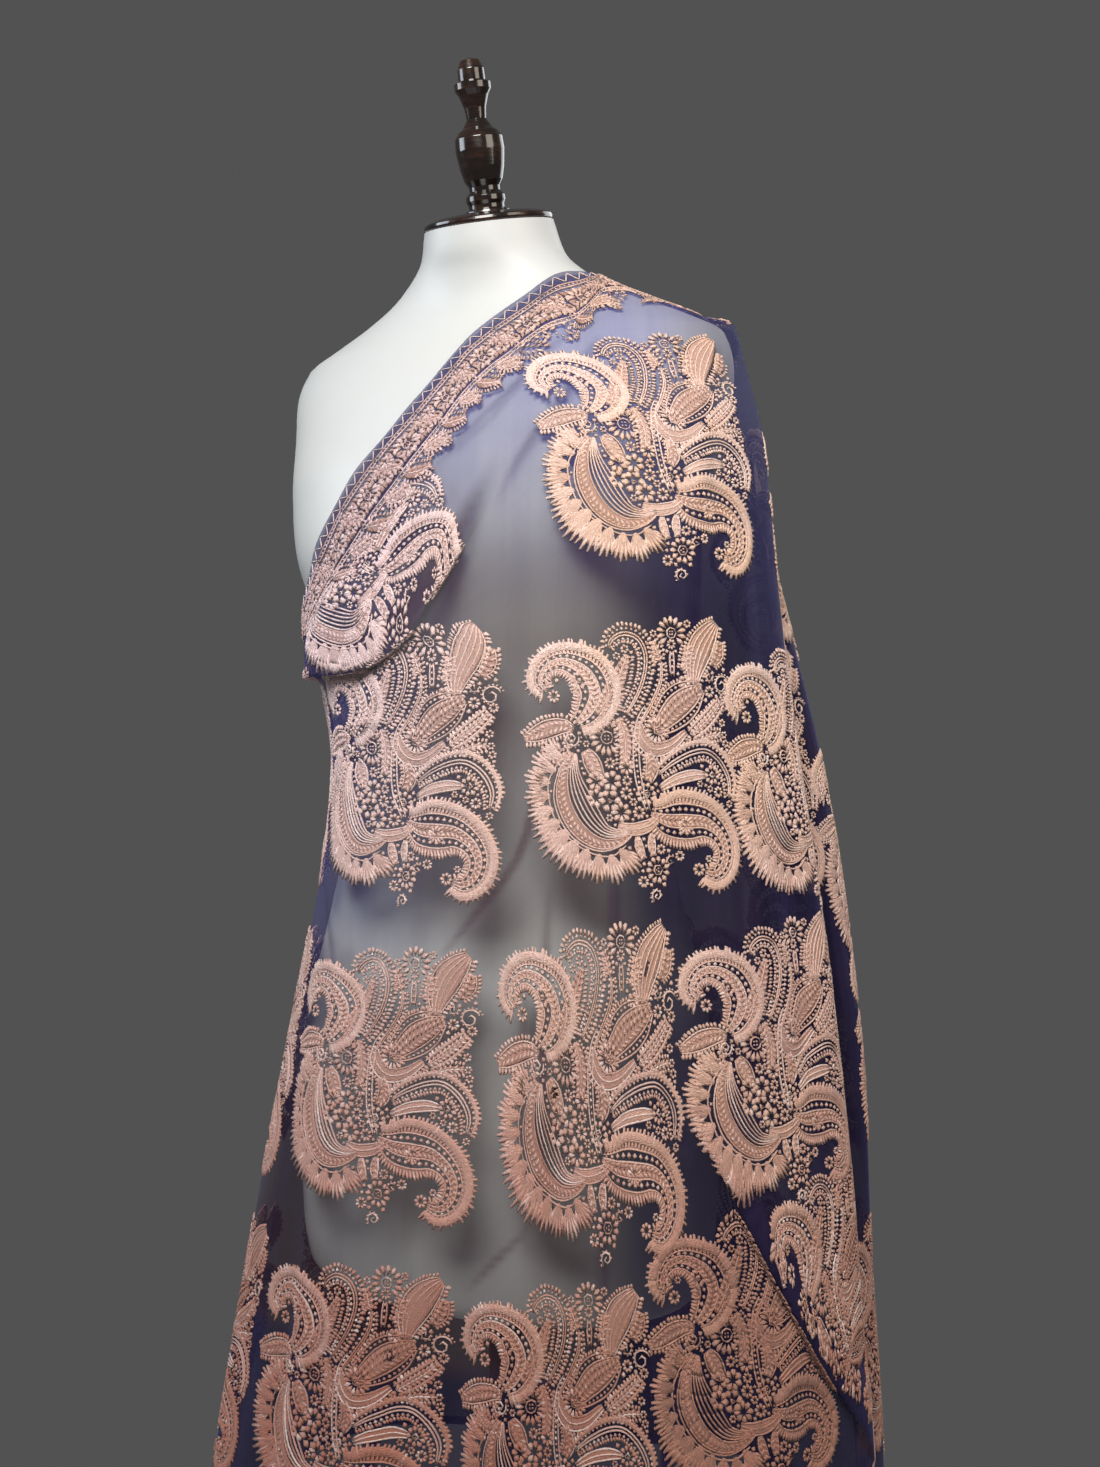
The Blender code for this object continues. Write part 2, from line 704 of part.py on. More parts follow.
def neck_fittings(collection, made):
    """The cap on the neck, and the turned finial on it, both leaning with the neck."""
    neck = bpy.data.objects.new("neck_axis", None)
    collection.objects.link(neck)
    neck.location = (0, -NECK_FORWARD, NECK_TOP)
    neck.rotation_euler = (NECK_LEAN, 0, 0)
    cap = turned(collection, "neck_cap", CAP[::-1], TURNED_STEPS, made["lacquer"])
    cap.location = (0, 0, GAP)
    finial = turned(
        collection, "neck_finial", [*FINIAL[::-1], Turning(0, 0)], TURNED_STEPS, made["lacquer"]
    )
    finial.location = (0, 0, CAP[-1].height + 2 * GAP)
    cap.parent = finial.parent = neck


def stand(collection, made):
    """A round weighted base, the pole in its collar, and the flange that carries the form."""
    crown = [
        Turning(BASE_RADIUS * math.sin(a), BASE_EDGE + (BASE_CROWN - BASE_EDGE) * math.cos(a))
        for a in np.radians(np.linspace(0, 90, 7))
    ]
    collar_foot = BASE_CROWN + GAP
    turned(collection, "stand_base", [*crown, Turning(BASE_RADIUS, 0), Turning(0, 0)], 32, made["iron"])
    flange_foot = FORM_BOTTOM - GAP - FLANGE_DEEP
    collar = [
        Turning(0, collar_foot + COLLAR_TALL),
        Turning(COLLAR_RADIUS * COLLAR_CHAMFER, collar_foot + COLLAR_TALL),
        Turning(COLLAR_RADIUS, collar_foot + COLLAR_TALL * COLLAR_CHAMFER),
        Turning(COLLAR_RADIUS, collar_foot),
        Turning(0, collar_foot),
    ]
    turned(collection, "stand_collar", collar, 16, made["iron"])
    pole_foot = collar_foot + COLLAR_TALL + GAP
    pole = [
        Turning(0, flange_foot - GAP),
        Turning(POLE_RADIUS, flange_foot - GAP),
        Turning(POLE_RADIUS, pole_foot),
        Turning(0, pole_foot),
    ]
    turned(collection, "stand_pole", pole, 16, made["iron"])
    flange = [
        Turning(0, flange_foot + FLANGE_DEEP),
        Turning(FLANGE_RADIUS, flange_foot + FLANGE_DEEP),
        Turning(FLANGE_RADIUS, flange_foot),
        Turning(0, flange_foot),
    ]
    turned(collection, "stand_flange", flange, 16, made["iron"])


def main():
    for thing in list(bpy.data.objects):
        bpy.data.objects.remove(thing, do_unlink=True)
    collection = bpy.data.collections.new("embroidered_dupatta_on_form")
    bpy.context.scene.collection.children.link(collection)
    made = {
        "net": material("net", (0.030, 0.022, 0.090), 0.55, sheen=0.4),
        "border": material("border", (0.52, 0.36, 0.30), 0.75, sheen=0.2),
        "form": material("form", (0.83, 0.83, 0.79), 0.45),
        "lacquer": material("lacquer", (0.018, 0.010, 0.008), 0.12),
        "iron": material("iron", (0.020, 0.020, 0.022), 0.40, metallic=0.6),
    }
    dress_form(collection, made)
    neck_fittings(collection, made)
    stand(collection, made)
    cloth_stretch(collection, "back", trimmed(BACK_EDGE, 0, 1), BACK_GRID, 0, made)
    cloth_stretch(collection, "front", trimmed(FRONT_EDGE, 1, 1), FRONT_GRID, 0, made)
    cloth_stretch(collection, "fall", trimmed(FALL_EDGE, 1, 0), FALL_GRID, 1, made)


main()
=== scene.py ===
"""Embroidered net dupatta on a limbless dress form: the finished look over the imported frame.

The form faces -Y, its left shoulder is at +X and the stand's foot is at z = 0. A bearing is the angle round the
form's upright axis, in degrees: 0 is its front, 90 its left side, 180 its back. Sizes are in metres, except in the
tables of the needlework, which are in millimetres.
"""

import logging
import math
from dataclasses import dataclass, field, fields, replace
from enum import Enum
from functools import cached_property
from typing import NamedTuple

import bmesh
import bpy
import numpy as np
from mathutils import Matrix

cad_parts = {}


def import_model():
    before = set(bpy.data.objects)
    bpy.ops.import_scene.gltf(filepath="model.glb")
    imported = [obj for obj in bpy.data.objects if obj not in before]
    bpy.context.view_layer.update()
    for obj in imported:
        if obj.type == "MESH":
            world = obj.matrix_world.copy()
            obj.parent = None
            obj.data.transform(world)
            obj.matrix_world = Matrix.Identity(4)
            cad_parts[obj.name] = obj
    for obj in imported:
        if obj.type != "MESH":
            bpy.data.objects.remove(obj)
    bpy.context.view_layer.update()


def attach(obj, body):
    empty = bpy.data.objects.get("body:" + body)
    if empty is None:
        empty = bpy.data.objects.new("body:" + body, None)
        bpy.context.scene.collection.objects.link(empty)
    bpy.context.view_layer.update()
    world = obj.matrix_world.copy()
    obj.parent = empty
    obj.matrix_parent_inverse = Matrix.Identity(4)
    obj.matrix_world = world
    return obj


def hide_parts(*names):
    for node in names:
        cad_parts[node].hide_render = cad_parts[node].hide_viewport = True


log = logging.getLogger("dupatta")

NECK_TOP = 1.474
NECK_LEAN = math.radians(14.5)
NECK_FORWARD = 0.028
FORM_BOTTOM = 0.620
GAP = 0.0003
HEM = 0.406
HANG_TOP = 1.380
MM = 0.001
TINY = 1e-12
ROOT = "root"
FORM = "form_torso"


def rows(kind: type, *values: tuple) -> tuple:
    """A table: each tuple of values as one of the named kind."""
    return tuple(kind(*row) for row in values)


class Section(NamedTuple):
    """One level cut of the torso: half its width, and its depth before and behind its centre."""

    height: float
    half_width: float
    front: float
    back: float
    forward: float
    fullness: float


TORSO = rows(
    Section,
    (FORM_BOTTOM, 0.15, 0.1, 0.098, 0, 2.2), (0.624, 0.163, 0.112, 0.11, 0, 2.2),
    (0.636, 0.171, 0.119, 0.117, 0, 2.2), (0.67, 0.176, 0.124, 0.121, 0, 2.2), (0.76, 0.179, 0.127, 0.124, 0, 2.2),
    (0.84, 0.17, 0.121, 0.118, 0, 2.2), (0.93, 0.149, 0.107, 0.103, 0, 2.2), (1.0, 0.134, 0.098, 0.091, 0, 2.2),
    (1.045, 0.13, 0.096, 0.087, 0, 2.2), (1.095, 0.137, 0.104, 0.088, 0, 2.2), (1.15, 0.154, 0.123, 0.092, 0, 2.3),
    (1.21, 0.172, 0.14, 0.098, 0, 2.4), (1.26, 0.182, 0.134, 0.102, 0, 2.3), (1.31, 0.191, 0.115, 0.102, 0, 2.1),
    (1.35, 0.196, 0.096, 0.096, 0, 2.0), (1.374, 0.19, 0.082, 0.087, 0, 1.85),
    (1.389, 0.165, 0.073, 0.078, 0.001, 1.75), (1.404, 0.132, 0.066, 0.07, 0.004, 1.7),
    (1.418, 0.102, 0.061, 0.064, 0.009, 1.7), (1.434, 0.076, 0.058, 0.059, 0.015, 1.8),
    (1.45, 0.06, 0.056, 0.056, 0.021, 1.9), (NECK_TOP, 0.052, 0.052, 0.052, NECK_FORWARD, 2.0),
)


class Hang(NamedTuple):
    """How far out the cloth hangs at one bearing, from the shoulder down to the hem."""

    bearing: float
    shoulder: float
    chest: float
    underarm: float
    waist: float
    hip: float
    thigh: float
    hem: float


HANG_HEIGHTS = (HANG_TOP, 1.300, 1.183, 1.040, 0.850, 0.650, HEM)
HANGS = rows(
    Hang,
    (-180, 0.06, 0.1, 0.112, 0.122, 0.146, 0.172, 0.2), (-145, 0.06, 0.11, 0.13, 0.128, 0.156, 0.184, 0.214),
    (-108, 0.06, 0.12, 0.156, 0.138, 0.166, 0.198, 0.236), (-60, 0.06, 0.12, 0.16, 0.138, 0.168, 0.201, 0.244),
    (-30, 0.06, 0.12, 0.156, 0.148, 0.168, 0.197, 0.228), (0, 0.06, 0.12, 0.148, 0.152, 0.164, 0.184, 0.208),
    (30, 0.07, 0.138, 0.164, 0.172, 0.186, 0.204, 0.224), (62, 0.116, 0.18, 0.204, 0.214, 0.234, 0.254, 0.27),
    (84, 0.178, 0.21, 0.222, 0.238, 0.264, 0.284, 0.298), (93, 0.195, 0.216, 0.228, 0.246, 0.274, 0.292, 0.306),
    (101, 0.178, 0.2, 0.213, 0.23, 0.256, 0.274, 0.29), (113, 0.12, 0.187, 0.221, 0.255, 0.283, 0.294, 0.309),
    (145, 0.06, 0.112, 0.15, 0.184, 0.212, 0.234, 0.256),
)


class Edge(NamedTuple):
    """A place on a stretch's top edge, and the bearing at which the cloth below it meets the hem."""

    bearing: float
    height: float
    hem_bearing: float


FRONT_EDGE = rows(
    Edge,
    (-84, 1.148, -84), (-64, 1.152, -59), (-45, 1.19, -37), (-27, 1.258, -18), (-9, 1.32, -1), (10, 1.37, 15),
    (38, 1.401, 27), (68, 1.424, 36), (99, 1.428, 44), (108, 1.413, 53), (107, 1.398, 64), (103, 1.386, 77),
    (99, 1.37, 95),
)
FALL_EDGE = rows(
    Edge,
    (99, 1.37, 95), (108, 1.366, 108), (122, 1.362, 122), (140, 1.338, 139), (160, 1.292, 157), (182, 1.232, 176),
)
BACK_EDGE = rows(
    Edge,
    (-222, 1.29, -222), (-200, 1.27, -200), (-175, 1.238, -175), (-145, 1.204, -145), (-112, 1.164, -112),
    (-84, 1.148, -84),
)


class Fold(NamedTuple):
    """A soft ridge, or a trough where the depth is negative, that leans from its top to its foot."""

    top_bearing: float
    top: float
    foot_bearing: float
    foot: float
    half_width: float
    depth: float


FOLDS = rows(
    Fold,
    (55, 1.13, 50, 0.3, 3.6, 0.007), (40, 0.96, 35, 0.48, 3.2, -0.006), (8, 1.09, -16, 0.83, 5.0, -0.005),
    (-14, 1.2, -44, 1.1, 6.0, 0.008), (-52, 0.9, -50, 0.3, 7.0, 0.007), (-30, 0.76, -26, 0.3, 5.0, -0.006),
    (-6, 0.72, -2, 0.3, 6.0, 0.008), (17, 0.69, 20, 0.3, 5.0, -0.007), (74, 0.7, 64, 0.3, 5.0, 0.009),
    (132, 1.24, 130, 0.3, 7.0, -0.011), (150, 1.15, 152, 0.3, 6.0, 0.009), (168, 1.0, 172, 0.3, 6.0, -0.008),
    (-166, 1.12, -163, 0.3, 7.0, 0.012), (-142, 0.98, -146, 0.3, 6.0, -0.008), (-122, 1.06, -120, 0.3, 7.0, 0.011),
    (-98, 0.94, -96, 0.3, 6.0, -0.009), (-80, 1.0, -78, 0.3, 5.0, 0.006),
)


class Lap(NamedTuple):
    """A point on the lower edge of a lap, where the cloth above folds over the cloth below it."""

    bearing: float
    height: float
    rise: float


LAPS = (
    rows(
        Lap,
        (-78, 1.12, 0), (-52, 1.124, 0.007), (-18, 1.128, 0.008), (-2, 1.146, 0.008), (18, 1.219, 0.006),
        (28, 1.262, 0),
    ),
    rows(
        Lap,
        (62, 0.8, 0), (70, 0.722, 0.008), (76, 0.664, 0.009), (83, 0.608, 0.008), (91, 0.552, 0.006), (98, 0.5, 0),
    ),
)


class Crease(NamedTuple):
    """A fine pressed line in the cloth, through (bearing, height) points; a negative depth is a valley."""

    path: tuple[tuple[float, float], ...]
    half_width: float
    depth: float


CREASES = rows(
    Crease,
    (((2, 1.142), (-8, 1.124), (-18, 1.106), (-26, 1.09)), 0.0035, -0.0026),
    (((40, 1.09), (36, 1.032), (32, 0.98), (23, 0.941), (11, 0.9)), 0.0045, -0.003),
    (((38, 0.96), (37, 0.905), (36, 0.8), (35, 0.752), (33, 0.725)), 0.005, 0.0034),
    (((33, 0.904), (32, 0.807), (33, 0.698)), 0.003, -0.0022),
    (((52, 1.1), (50, 0.948), (47, 0.776), (45, 0.608)), 0.0042, 0.0028),
    (((20, 0.672), (27, 0.698), (34, 0.722)), 0.0036, -0.0026), (((54, 0.812), (61, 0.774)), 0.0036, -0.0024),
    (((53, 1.372), (38, 1.34), (20, 1.296), (3, 1.258)), 0.0055, 0.0016),
    (((60, 1.366), (46, 1.316), (33, 1.27), (25, 1.228)), 0.0065, -0.0018),
    (((86, 1.366), (75, 1.296), (69, 1.19), (66, 1.09)), 0.0075, 0.0022),
    (((-34, 1.08), (-22, 1.072), (-4, 1.076)), 0.004, 0.0022),
    (((-30, 1.06), (-24, 1.046), (-13, 1.036)), 0.004, -0.0024),
    (((-44, 0.98), (-30, 0.93), (-20, 0.86)), 0.007, 0.002), (((8, 0.69), (2, 0.6), (-2, 0.48)), 0.006, 0.0026),
    (((62, 0.69), (56, 0.6), (52, 0.47)), 0.006, -0.0026), (((86, 1.0), (84, 0.86), (86, 0.7)), 0.006, -0.0022),
    (((108, 1.3), (110, 1.1), (108, 0.9), (112, 0.64)), 0.007, 0.003),
    (((122, 1.18), (120, 0.98), (124, 0.76)), 0.006, -0.0024),
    (((142, 1.26), (140, 1.06), (142, 0.8), (140, 0.56)), 0.007, 0.0028),
    (((160, 1.22), (162, 1.0), (160, 0.74)), 0.006, -0.0024), (((-96, 1.12), (-90, 1.0), (-88, 0.86)), 0.007, 0.0024),
    (((-118, 1.12), (-132, 1.0), (-134, 0.82)), 0.007, -0.0024),
    (((-150, 1.16), (-152, 0.94), (-150, 0.7)), 0.007, 0.0026),
    (((-176, 1.2), (-178, 1.0), (-180, 0.7)), 0.007, -0.0024),
)


class Motif(NamedTuple):
    """A worked bouquet: where its middle lies on the hanging cloth, how wide it is and how it turns.

    cut says that the border or a lap cuts it short. lap is 1 where only what lies above the lower lap is worked, and
    -1 where only what lies below it is. tall stretches the bouquet down the cloth where it hangs drawn out.
    """

    bearing: float
    height: float
    width: float
    turn: float = 0.0
    cut: bool = False
    lap: int = 0
    # tone is added to the thread's tones; it darkens the bouquet below the lower lap as painted shade.
    tone: float = 0.0
    tall: float = 1.0


MOTIFS = {
    "front_high": rows(
        Motif,
        (62, 1.272, 0.168), (-22, 1.199, 0.172, 44, True), (-6, 1.036, 0.184), (54, 1.044, 0.158), (91, 1.03, 0.156),
        (-72, 1.036, 0.16),
    ),
    "front_middle": rows(
        Motif,
        (-9, 0.806, 0.186), (44, 0.812, 0.134, 0, False, 0, 0, 1.16), (77, 0.826, 0.16), (-68, 0.806, 0.16),
    ),
    "front_low": rows(
        Motif,
        (-11, 0.578, 0.186), (37, 0.582, 0.138), (84, 0.645, 0.152, 0, True, 1),
        # The first bouquet on the next line lies below the lower lap and is darkened as painted shade.
        (68, 0.63, 0.156, 0, True, -1, -0.22), (-62, 0.578, 0.16),
    ),
    "fall_high": rows(
        Motif,
        (112, 1.22, 0.16), (122, 0.965, 0.16, 0, True), (170, 1.04, 0.16, 0, True),
    ),
    "fall_low": rows(
        Motif,
        (124, 0.806, 0.16), (157, 0.806, 0.16), (112, 0.578, 0.16), (150, 0.578, 0.16),
    ),
    "back": rows(
        Motif,
        (-130, 1.036, 0.16), (-190, 1.11, 0.16), (-122, 0.806, 0.16), (-176, 0.85, 0.16), (-112, 0.578, 0.16),
        (-162, 0.6, 0.16),
    ),
}


class Filling(NamedTuple):
    """The rows worked in a lobe, as shares of its half-width to the right of the way it runs."""

    mats: tuple[tuple[float, float], ...] = ()
    cords: tuple[float, ...] = ()
    knots: tuple[float, ...] = ()
    leaves: tuple[float, ...] = ()


PAISLEY = Filling(((-1.0, -0.74), (-0.28, 0.28), (0.74, 1.0)), (-0.74, 0.74, -0.28, 0.28), (-0.51, 0.51), (-0.12, 0.12))
FAN = Filling(((0.12, 0.84),), (1.0, 0.84, 0.12, -0.10, -0.32, -0.54, -0.76, -1.0), (0.68,), (0.44,))
LEAF = Filling(((-0.9, 0.9),), (0.0,), (), (-0.5, 0.5))
OVAL = Filling(((-0.9, 0.9),), (-1.0, 1.0), (), (-0.36, 0.36))
BEADS = Filling((), (-0.24, 0.24), (-0.85, 0.85), ())
PLUME = Filling(((-0.95, 0.95),), (-0.95, -0.57, -0.19, 0.19, 0.57, 0.95), (), ())
PEAR = Filling(((-0.6, 0.6),), (-1.0, -0.62, 0.62, 1.0), (-0.82, 0.82), (-0.36, 0.0, 0.36))
STEM = Filling((), (-1.0, 1.0), (0.0,), ())
BAND = Filling(((-1.0, 1.0),), (-1.0, 0.0, 1.0), (), ())


class Lobe(NamedTuple):
    """A worked shape of a bouquet, in mm.

    line is its middle line as (across, up, half-width) points. right and left are the lengths of the leaf fringe on
    its two sides, and tone makes its thread lighter or darker.
    """

    line: tuple[tuple[float, float, float], ...]
    filling: Filling
    right: float = 0.0
    left: float = 0.0
    tone: float = 0.0


LOBES = rows(
    Lobe,
    (((-40, 28, 5), (-31, 36, 11), (-25, 49, 14), (-30, 62, 13.5), (-41, 70, 10), (-53, 72, 7.5), (-63, 67, 6),
     (-67, 58, 5), (-62, 51, 3)), PAISLEY, 8.5, 3.6, 0.05),
    (((-42, 24, 2), (-50, 26, 5), (-62, 24, 6.5), (-73, 20, 5), (-81, 17, 2)), OVAL, 4.2, 4.2, 0.04),
    (((-42, 7, 1.5), (-47, -8, 8.5), (-46, -25, 14), (-38, -42, 14.5), (-26, -52, 11), (-13, -53, 6),
     (-2, -49, 2)), FAN),
    (((-34, 9, 3), (-30, 2, 6), (-26, -6, 5.5), (-23, -11, 3)), OVAL, 0, 0, 0.04),
    (((-24, 34, 3), (-17, 44, 6.5), (-9, 56, 7.5), (-3, 69, 5), (0, 77, 2)), LEAF, 4.0, 0, -0.05),
    (((-2, 34, 2), (7, 48, 3.2), (13, 63, 3.6), (14, 78, 4), (8, 89, 4.4), (-3, 92, 4.4), (-12, 87, 3.6),
     (-14, 81, 2)), BEADS, 4.4, 2.6, 0.05),
    (((8, 26, 2), (18, 42, 3), (26, 58, 3), (27, 72, 2)), BEADS, 2.8, 0, 0.03),
    (((54, 56, 3), (56, 70, 9), (62, 84, 11.5), (71, 95, 8), (77, 101, 3.5)), PLUME, 4.4, 3.4, 0),
    (((72, 70, 2), (78, 78, 5), (80, 88, 3)), OVAL, 3.6, 0, -0.1),
    (((20, 22, 4), (28, 30, 10.5), (39, 40, 14.5), (51, 48, 12), (61, 54, 4)), PEAR, 0, 3.6, -0.1),
    (((8, 30, 1.5), (9, 19, 4.5), (18, 10, 5), (32, 12, 4), (46, 22, 2)), BAND, 4.4, 0, 0),
    (((50, 20, 2), (60, 27, 3.4), (70, 35, 3.4), (79, 44, 2)), LEAF, 4.6, 4.6, 0.04),
    (((58, 16, 1.5), (68, 19, 2.6), (78, 20, 1.5)), LEAF, 4.0, 4.0, 0.04),
    (((22, -8, 2), (34, 0, 4.2), (50, 7, 5), (64, 8, 5), (76, 0, 5), (83, -13, 4.4), (82, -26, 2)),
     BEADS, 3.2, 4.6, 0.03),
    (((23, -18, 2), (36, -12, 3.4), (50, -9, 3.6), (61, -9, 2)), BAND, 0, 0, 0.04),
    (((14, -36, 4), (27, -41, 14), (42, -42, 17), (57, -43, 14), (69, -50, 10.5), (75, -61, 8.5), (73, -73, 7.5),
     (65, -80, 6), (56, -78, 3)), PAISLEY, 3.6, 8.5, -0.02),
    (((-12, -44, 2), (-2, -47, 4), (10, -45, 4), (19, -40, 2)), BAND, 0, 0, 0.05),
    (((12, -34, 1.6), (6, -14, 2.2), (5, 12, 2.2), (8, 30, 1.6), (14, 40, 1.4)), STEM, 0, 0, 0.05),
    (((-8, 32, 2.5), (-4, 22, 5), (-3, 10, 5.5), (-5, -2, 4)), LEAF, 3.0, 3.0, -0.03),
    (((14, 8, 2), (17, -4, 4.5), (13, -13, 3)), OVAL, 3.0, 0, 0),
    (((-64, 14, 1.5), (-60, 6, 5), (-52, 2, 5.5), (-45, 8, 2)), LEAF, 4.0, 3.0, 0.02),
    (((36, 62, 1.2), (36, 72, 1.8), (36, 80, 1.2)), STEM, 0, 0, 0.05),
    (((26, 72, 1.5), (23, 80, 3.6), (20, 87, 2)), LEAF, 3.4, 3.4, 0),
    (((44, 66, 1.5), (48, 75, 3.4), (49, 84, 2)), LEAF, 3.4, 3.4, 0),
    (((2, -52, 1.4), (3, -60, 3), (6, -68, 1.4)), OVAL, 0, 0, 0.04),
    (((14, -50, 1.4), (13, -58, 3), (14, -66, 1.4)), OVAL, 0, 0, 0.04),
)


class Bloom(NamedTuple):
    """A round flower of a bouquet, in mm: its place, its radius, its petals, and the radius of its ring."""

    across: float
    up: float
    radius: float
    petals: int
    ring: float
    turn: float = 0.0
    spread: float = 360.0


BLOOMS = rows(
    Bloom,
    (-17, 18, 13.0, 15, 5.6), (-27, -13, 7.0, 7, 0), (-28, -25, 7.0, 7, 0), (-15, -13, 7.5, 7, 0),
    (-17, -27, 8.0, 6, 2.6), (-9, -35, 7.5, 8, 0), (36, 93, 12.0, 11, 4.8, 90, 260), (67, -9, 7.0, 9, 2.8),
    (42, -45, 6.5, 12, 0), (17, -76, 9.5, 11, 4.4), (11, -22, 8.0, 10, 3.6), (22, 23, 10.0, 14, 3.6),
    (-3, -3, 6.0, 8, 0), (-37, 58, 6.5, 9, 2.4), (46, 58, 5.0, 7, 0), (-47, 14, 4.5, 7, 0),
)


class Hook(NamedTuple):
    """A curled tendril of a bouquet, in mm: its middle, its radius, the way it starts and its turns."""

    across: float
    up: float
    radius: float
    start: float
    turns: float


HOOKS = rows(
    Hook,
    (-44, 17, 6.0, 200, 1.5), (80, 56, 7.5, 160, -1.4), (15, -94, 5.0, 90, 1.4), (28, -70, 4.0, 120, -1.2),
    (68, 62, 4.0, 300, 1.2),
)
CLUSTER_LINE = (
    (-52, 9), (-62, -2), (-68, -14), (-68, -28), (-64, -42), (-56, -54), (-44, -64), (-30, -70), (-16, -70),
    (-4, -62),
)
CLUSTERS = 12
OUTLINE = (
    (-83, 18), (-64, 33), (-45, 36), (-40, 52), (-48, 61), (-55, 56), (-56, 47), (-68, 46), (-76, 62), (-70, 76),
    (-52, 84), (-30, 84), (-16, 72), (-18, 90), (2, 97), (20, 92), (28, 103), (46, 103), (56, 95), (72, 103),
    (82, 90), (84, 66), (84, 50), (78, 38), (82, 14), (88, -6), (86, -28), (78, -34), (86, -50), (84, -78), (72, -93),
    (54, -86), (50, -76), (60, -68), (62, -60), (50, -60), (40, -66), (30, -68), (26, -82), (16, -94), (4, -84),
    (-2, -66), (-12, -72), (-36, -78), (-60, -70), (-74, -54), (-78, -34), (-74, -8), (-62, 4),
)
TULIP = (
    (0, -1.0, 0, 16.5, 4.0), (1.5, -1.0, 10, 15.2, 3.8), (-1.5, -1.0, -10, 15.2, 3.8), (2.6, -1.0, 20, 12.6, 3.6),
    (-2.6, -1.0, -20, 12.6, 3.6), (3.2, -2.0, 27, 9.4, 3.4), (-3.2, -2.0, -27, 9.4, 3.4),
)


class Turning(NamedTuple):
    """A point on a turned profile."""

    radius: float
    height: float


FINIAL = rows(
    Turning,
    (0.019, 0), (0.0186, 0.0012), (0.0145, 0.0033), (0.0145, 0.0062), (0.016, 0.0091), (0.0158, 0.0129),
    (0.0125, 0.0167), (0.0125, 0.0201), (0.0155, 0.0248), (0.018, 0.0344), (0.0198, 0.0478), (0.0192, 0.0573),
    (0.0158, 0.0621), (0.012, 0.0649), (0.0078, 0.0716), (0.0088, 0.0802), (0.0118, 0.0893), (0.0146, 0.0936),
    (0.0146, 0.0984), (0.0108, 0.1003), (0.0106, 0.1089), (0.0075, 0.1156), (0.0004, 0.1179),
)
CAP = rows(
    Turning,
    (0.0005, 0), (0.051, 0), (0.0522, 0.0008), (0.0525, 0.0024), (0.0521, 0.0042), (0.0508, 0.0052), (0.044, 0.0075),
    (0.025, 0.01), (0.0005, 0.01),
)

Points = tuple[tuple[float, ...], ...]


def soft_step(share: np.ndarray) -> np.ndarray:
    """A share from 0 to 1 that starts and ends gently: 3t^2 - 2t^3."""
    return share * share * (3 - 2 * share)


def half_turn(bearing: np.ndarray) -> np.ndarray:
    """A bearing brought between -180 and 180 degrees."""
    return (np.asarray(bearing) + 180) % 360 - 180


def unit(vectors: np.ndarray) -> np.ndarray:
    """Vectors of length one along the last axis."""
    return vectors / (np.linalg.norm(vectors, axis=-1, keepdims=True) + TINY)


def clockwise(vectors: np.ndarray) -> np.ndarray:
    """Flat vectors turned by a quarter clockwise."""
    return np.stack((vectors[:, 1], -vectors[:, 0]), -1)


def rays(angles: np.ndarray) -> np.ndarray:
    """Unit vectors at angles in radians: (cos, sin)."""
    return np.stack((np.cos(angles), np.sin(angles)), -1)


def hermite(
    low: np.ndarray, high: np.ndarray, enter: np.ndarray, leave: np.ndarray, t: np.ndarray
) -> np.ndarray:
    """The cubic from low to high over t from 0 to 1, with the given slopes at its two ends."""
    return (
        low * (1 + 2 * t) * (1 - t) ** 2 + high * t * t * (3 - 2 * t)
        + enter * t * (1 - t) ** 2 - leave * t * t * (1 - t)
    )


def smooth(xs: list[float], ys: list[float], x: np.ndarray) -> np.ndarray:
    """Monotone cubic curve: its slopes at the knots are the harmonic means of the steps beside them.

    Args:
        xs: Rising places of the knots.
        ys: Values at the knots.
        x: Where the curve is read.

    Returns:
        The curve's values at x.
    """
    xs, ys, x = (np.asarray(v, dtype=float) for v in (xs, ys, x))
    step, rise = np.diff(xs), np.diff(ys)
    slope = rise / step
    both = slope[1:] * slope[:-1]
    inner = np.where(both > 0, 2 * both / (slope[1:] + slope[:-1] + 1e-30), 0)
    ends = np.concatenate(([slope[0]], inner, [slope[-1]]))
    i = np.clip(np.searchsorted(xs, x) - 1, 0, len(xs) - 2)
    t = np.clip((x - xs[i]) / step[i], 0, 1)
    return hermite(ys[i], ys[i + 1], step[i] * ends[i], step[i] * ends[i + 1], t)


def column(table: tuple, name: str, x: np.ndarray, key: str = "height") -> np.ndarray:
    """One named column of a table, read smoothly at x along its column called key."""
    return smooth([getattr(row, key) for row in table], [getattr(row, name) for row in table], x)


def run_length(path: np.ndarray) -> np.ndarray:
    """The distance run along each path, from the lengths of its steps; the last two axes are point and coordinate."""
    steps = np.linalg.norm(np.diff(path, axis=-2), axis=-1)
    return np.concatenate((np.zeros((*steps.shape[:-1], 1)), np.cumsum(steps, axis=-1)), axis=-1)


def read_rows(want: np.ndarray, at: np.ndarray, values: np.ndarray) -> np.ndarray:
    """Straight-line reading of many rows at once: each is shifted to a range of its own, then all are read together.

    Args:
        want: Where each row is read, (rows, n).
        at: Rising places of each row's samples, (rows, m).
        values: The samples, (rows, m).

    Returns:
        The readings, (rows, n).
    """
    reach = float(max(at.max(), want.max()) - min(at.min(), want.min())) + 1.0
    shift = np.arange(len(at))[:, None] * reach
    inside = np.clip(want, at[:, :1], at[:, -1:])
    return np.interp((inside + shift).ravel(), (at + shift).ravel(), values.ravel()).reshape(want.shape)


def resampled(values: np.ndarray, run: np.ndarray, want: np.ndarray) -> np.ndarray:
    """Every column of values, known along a run, read at the wanted distances."""
    return np.stack([np.interp(want, run, one) for one in values.T], -1)


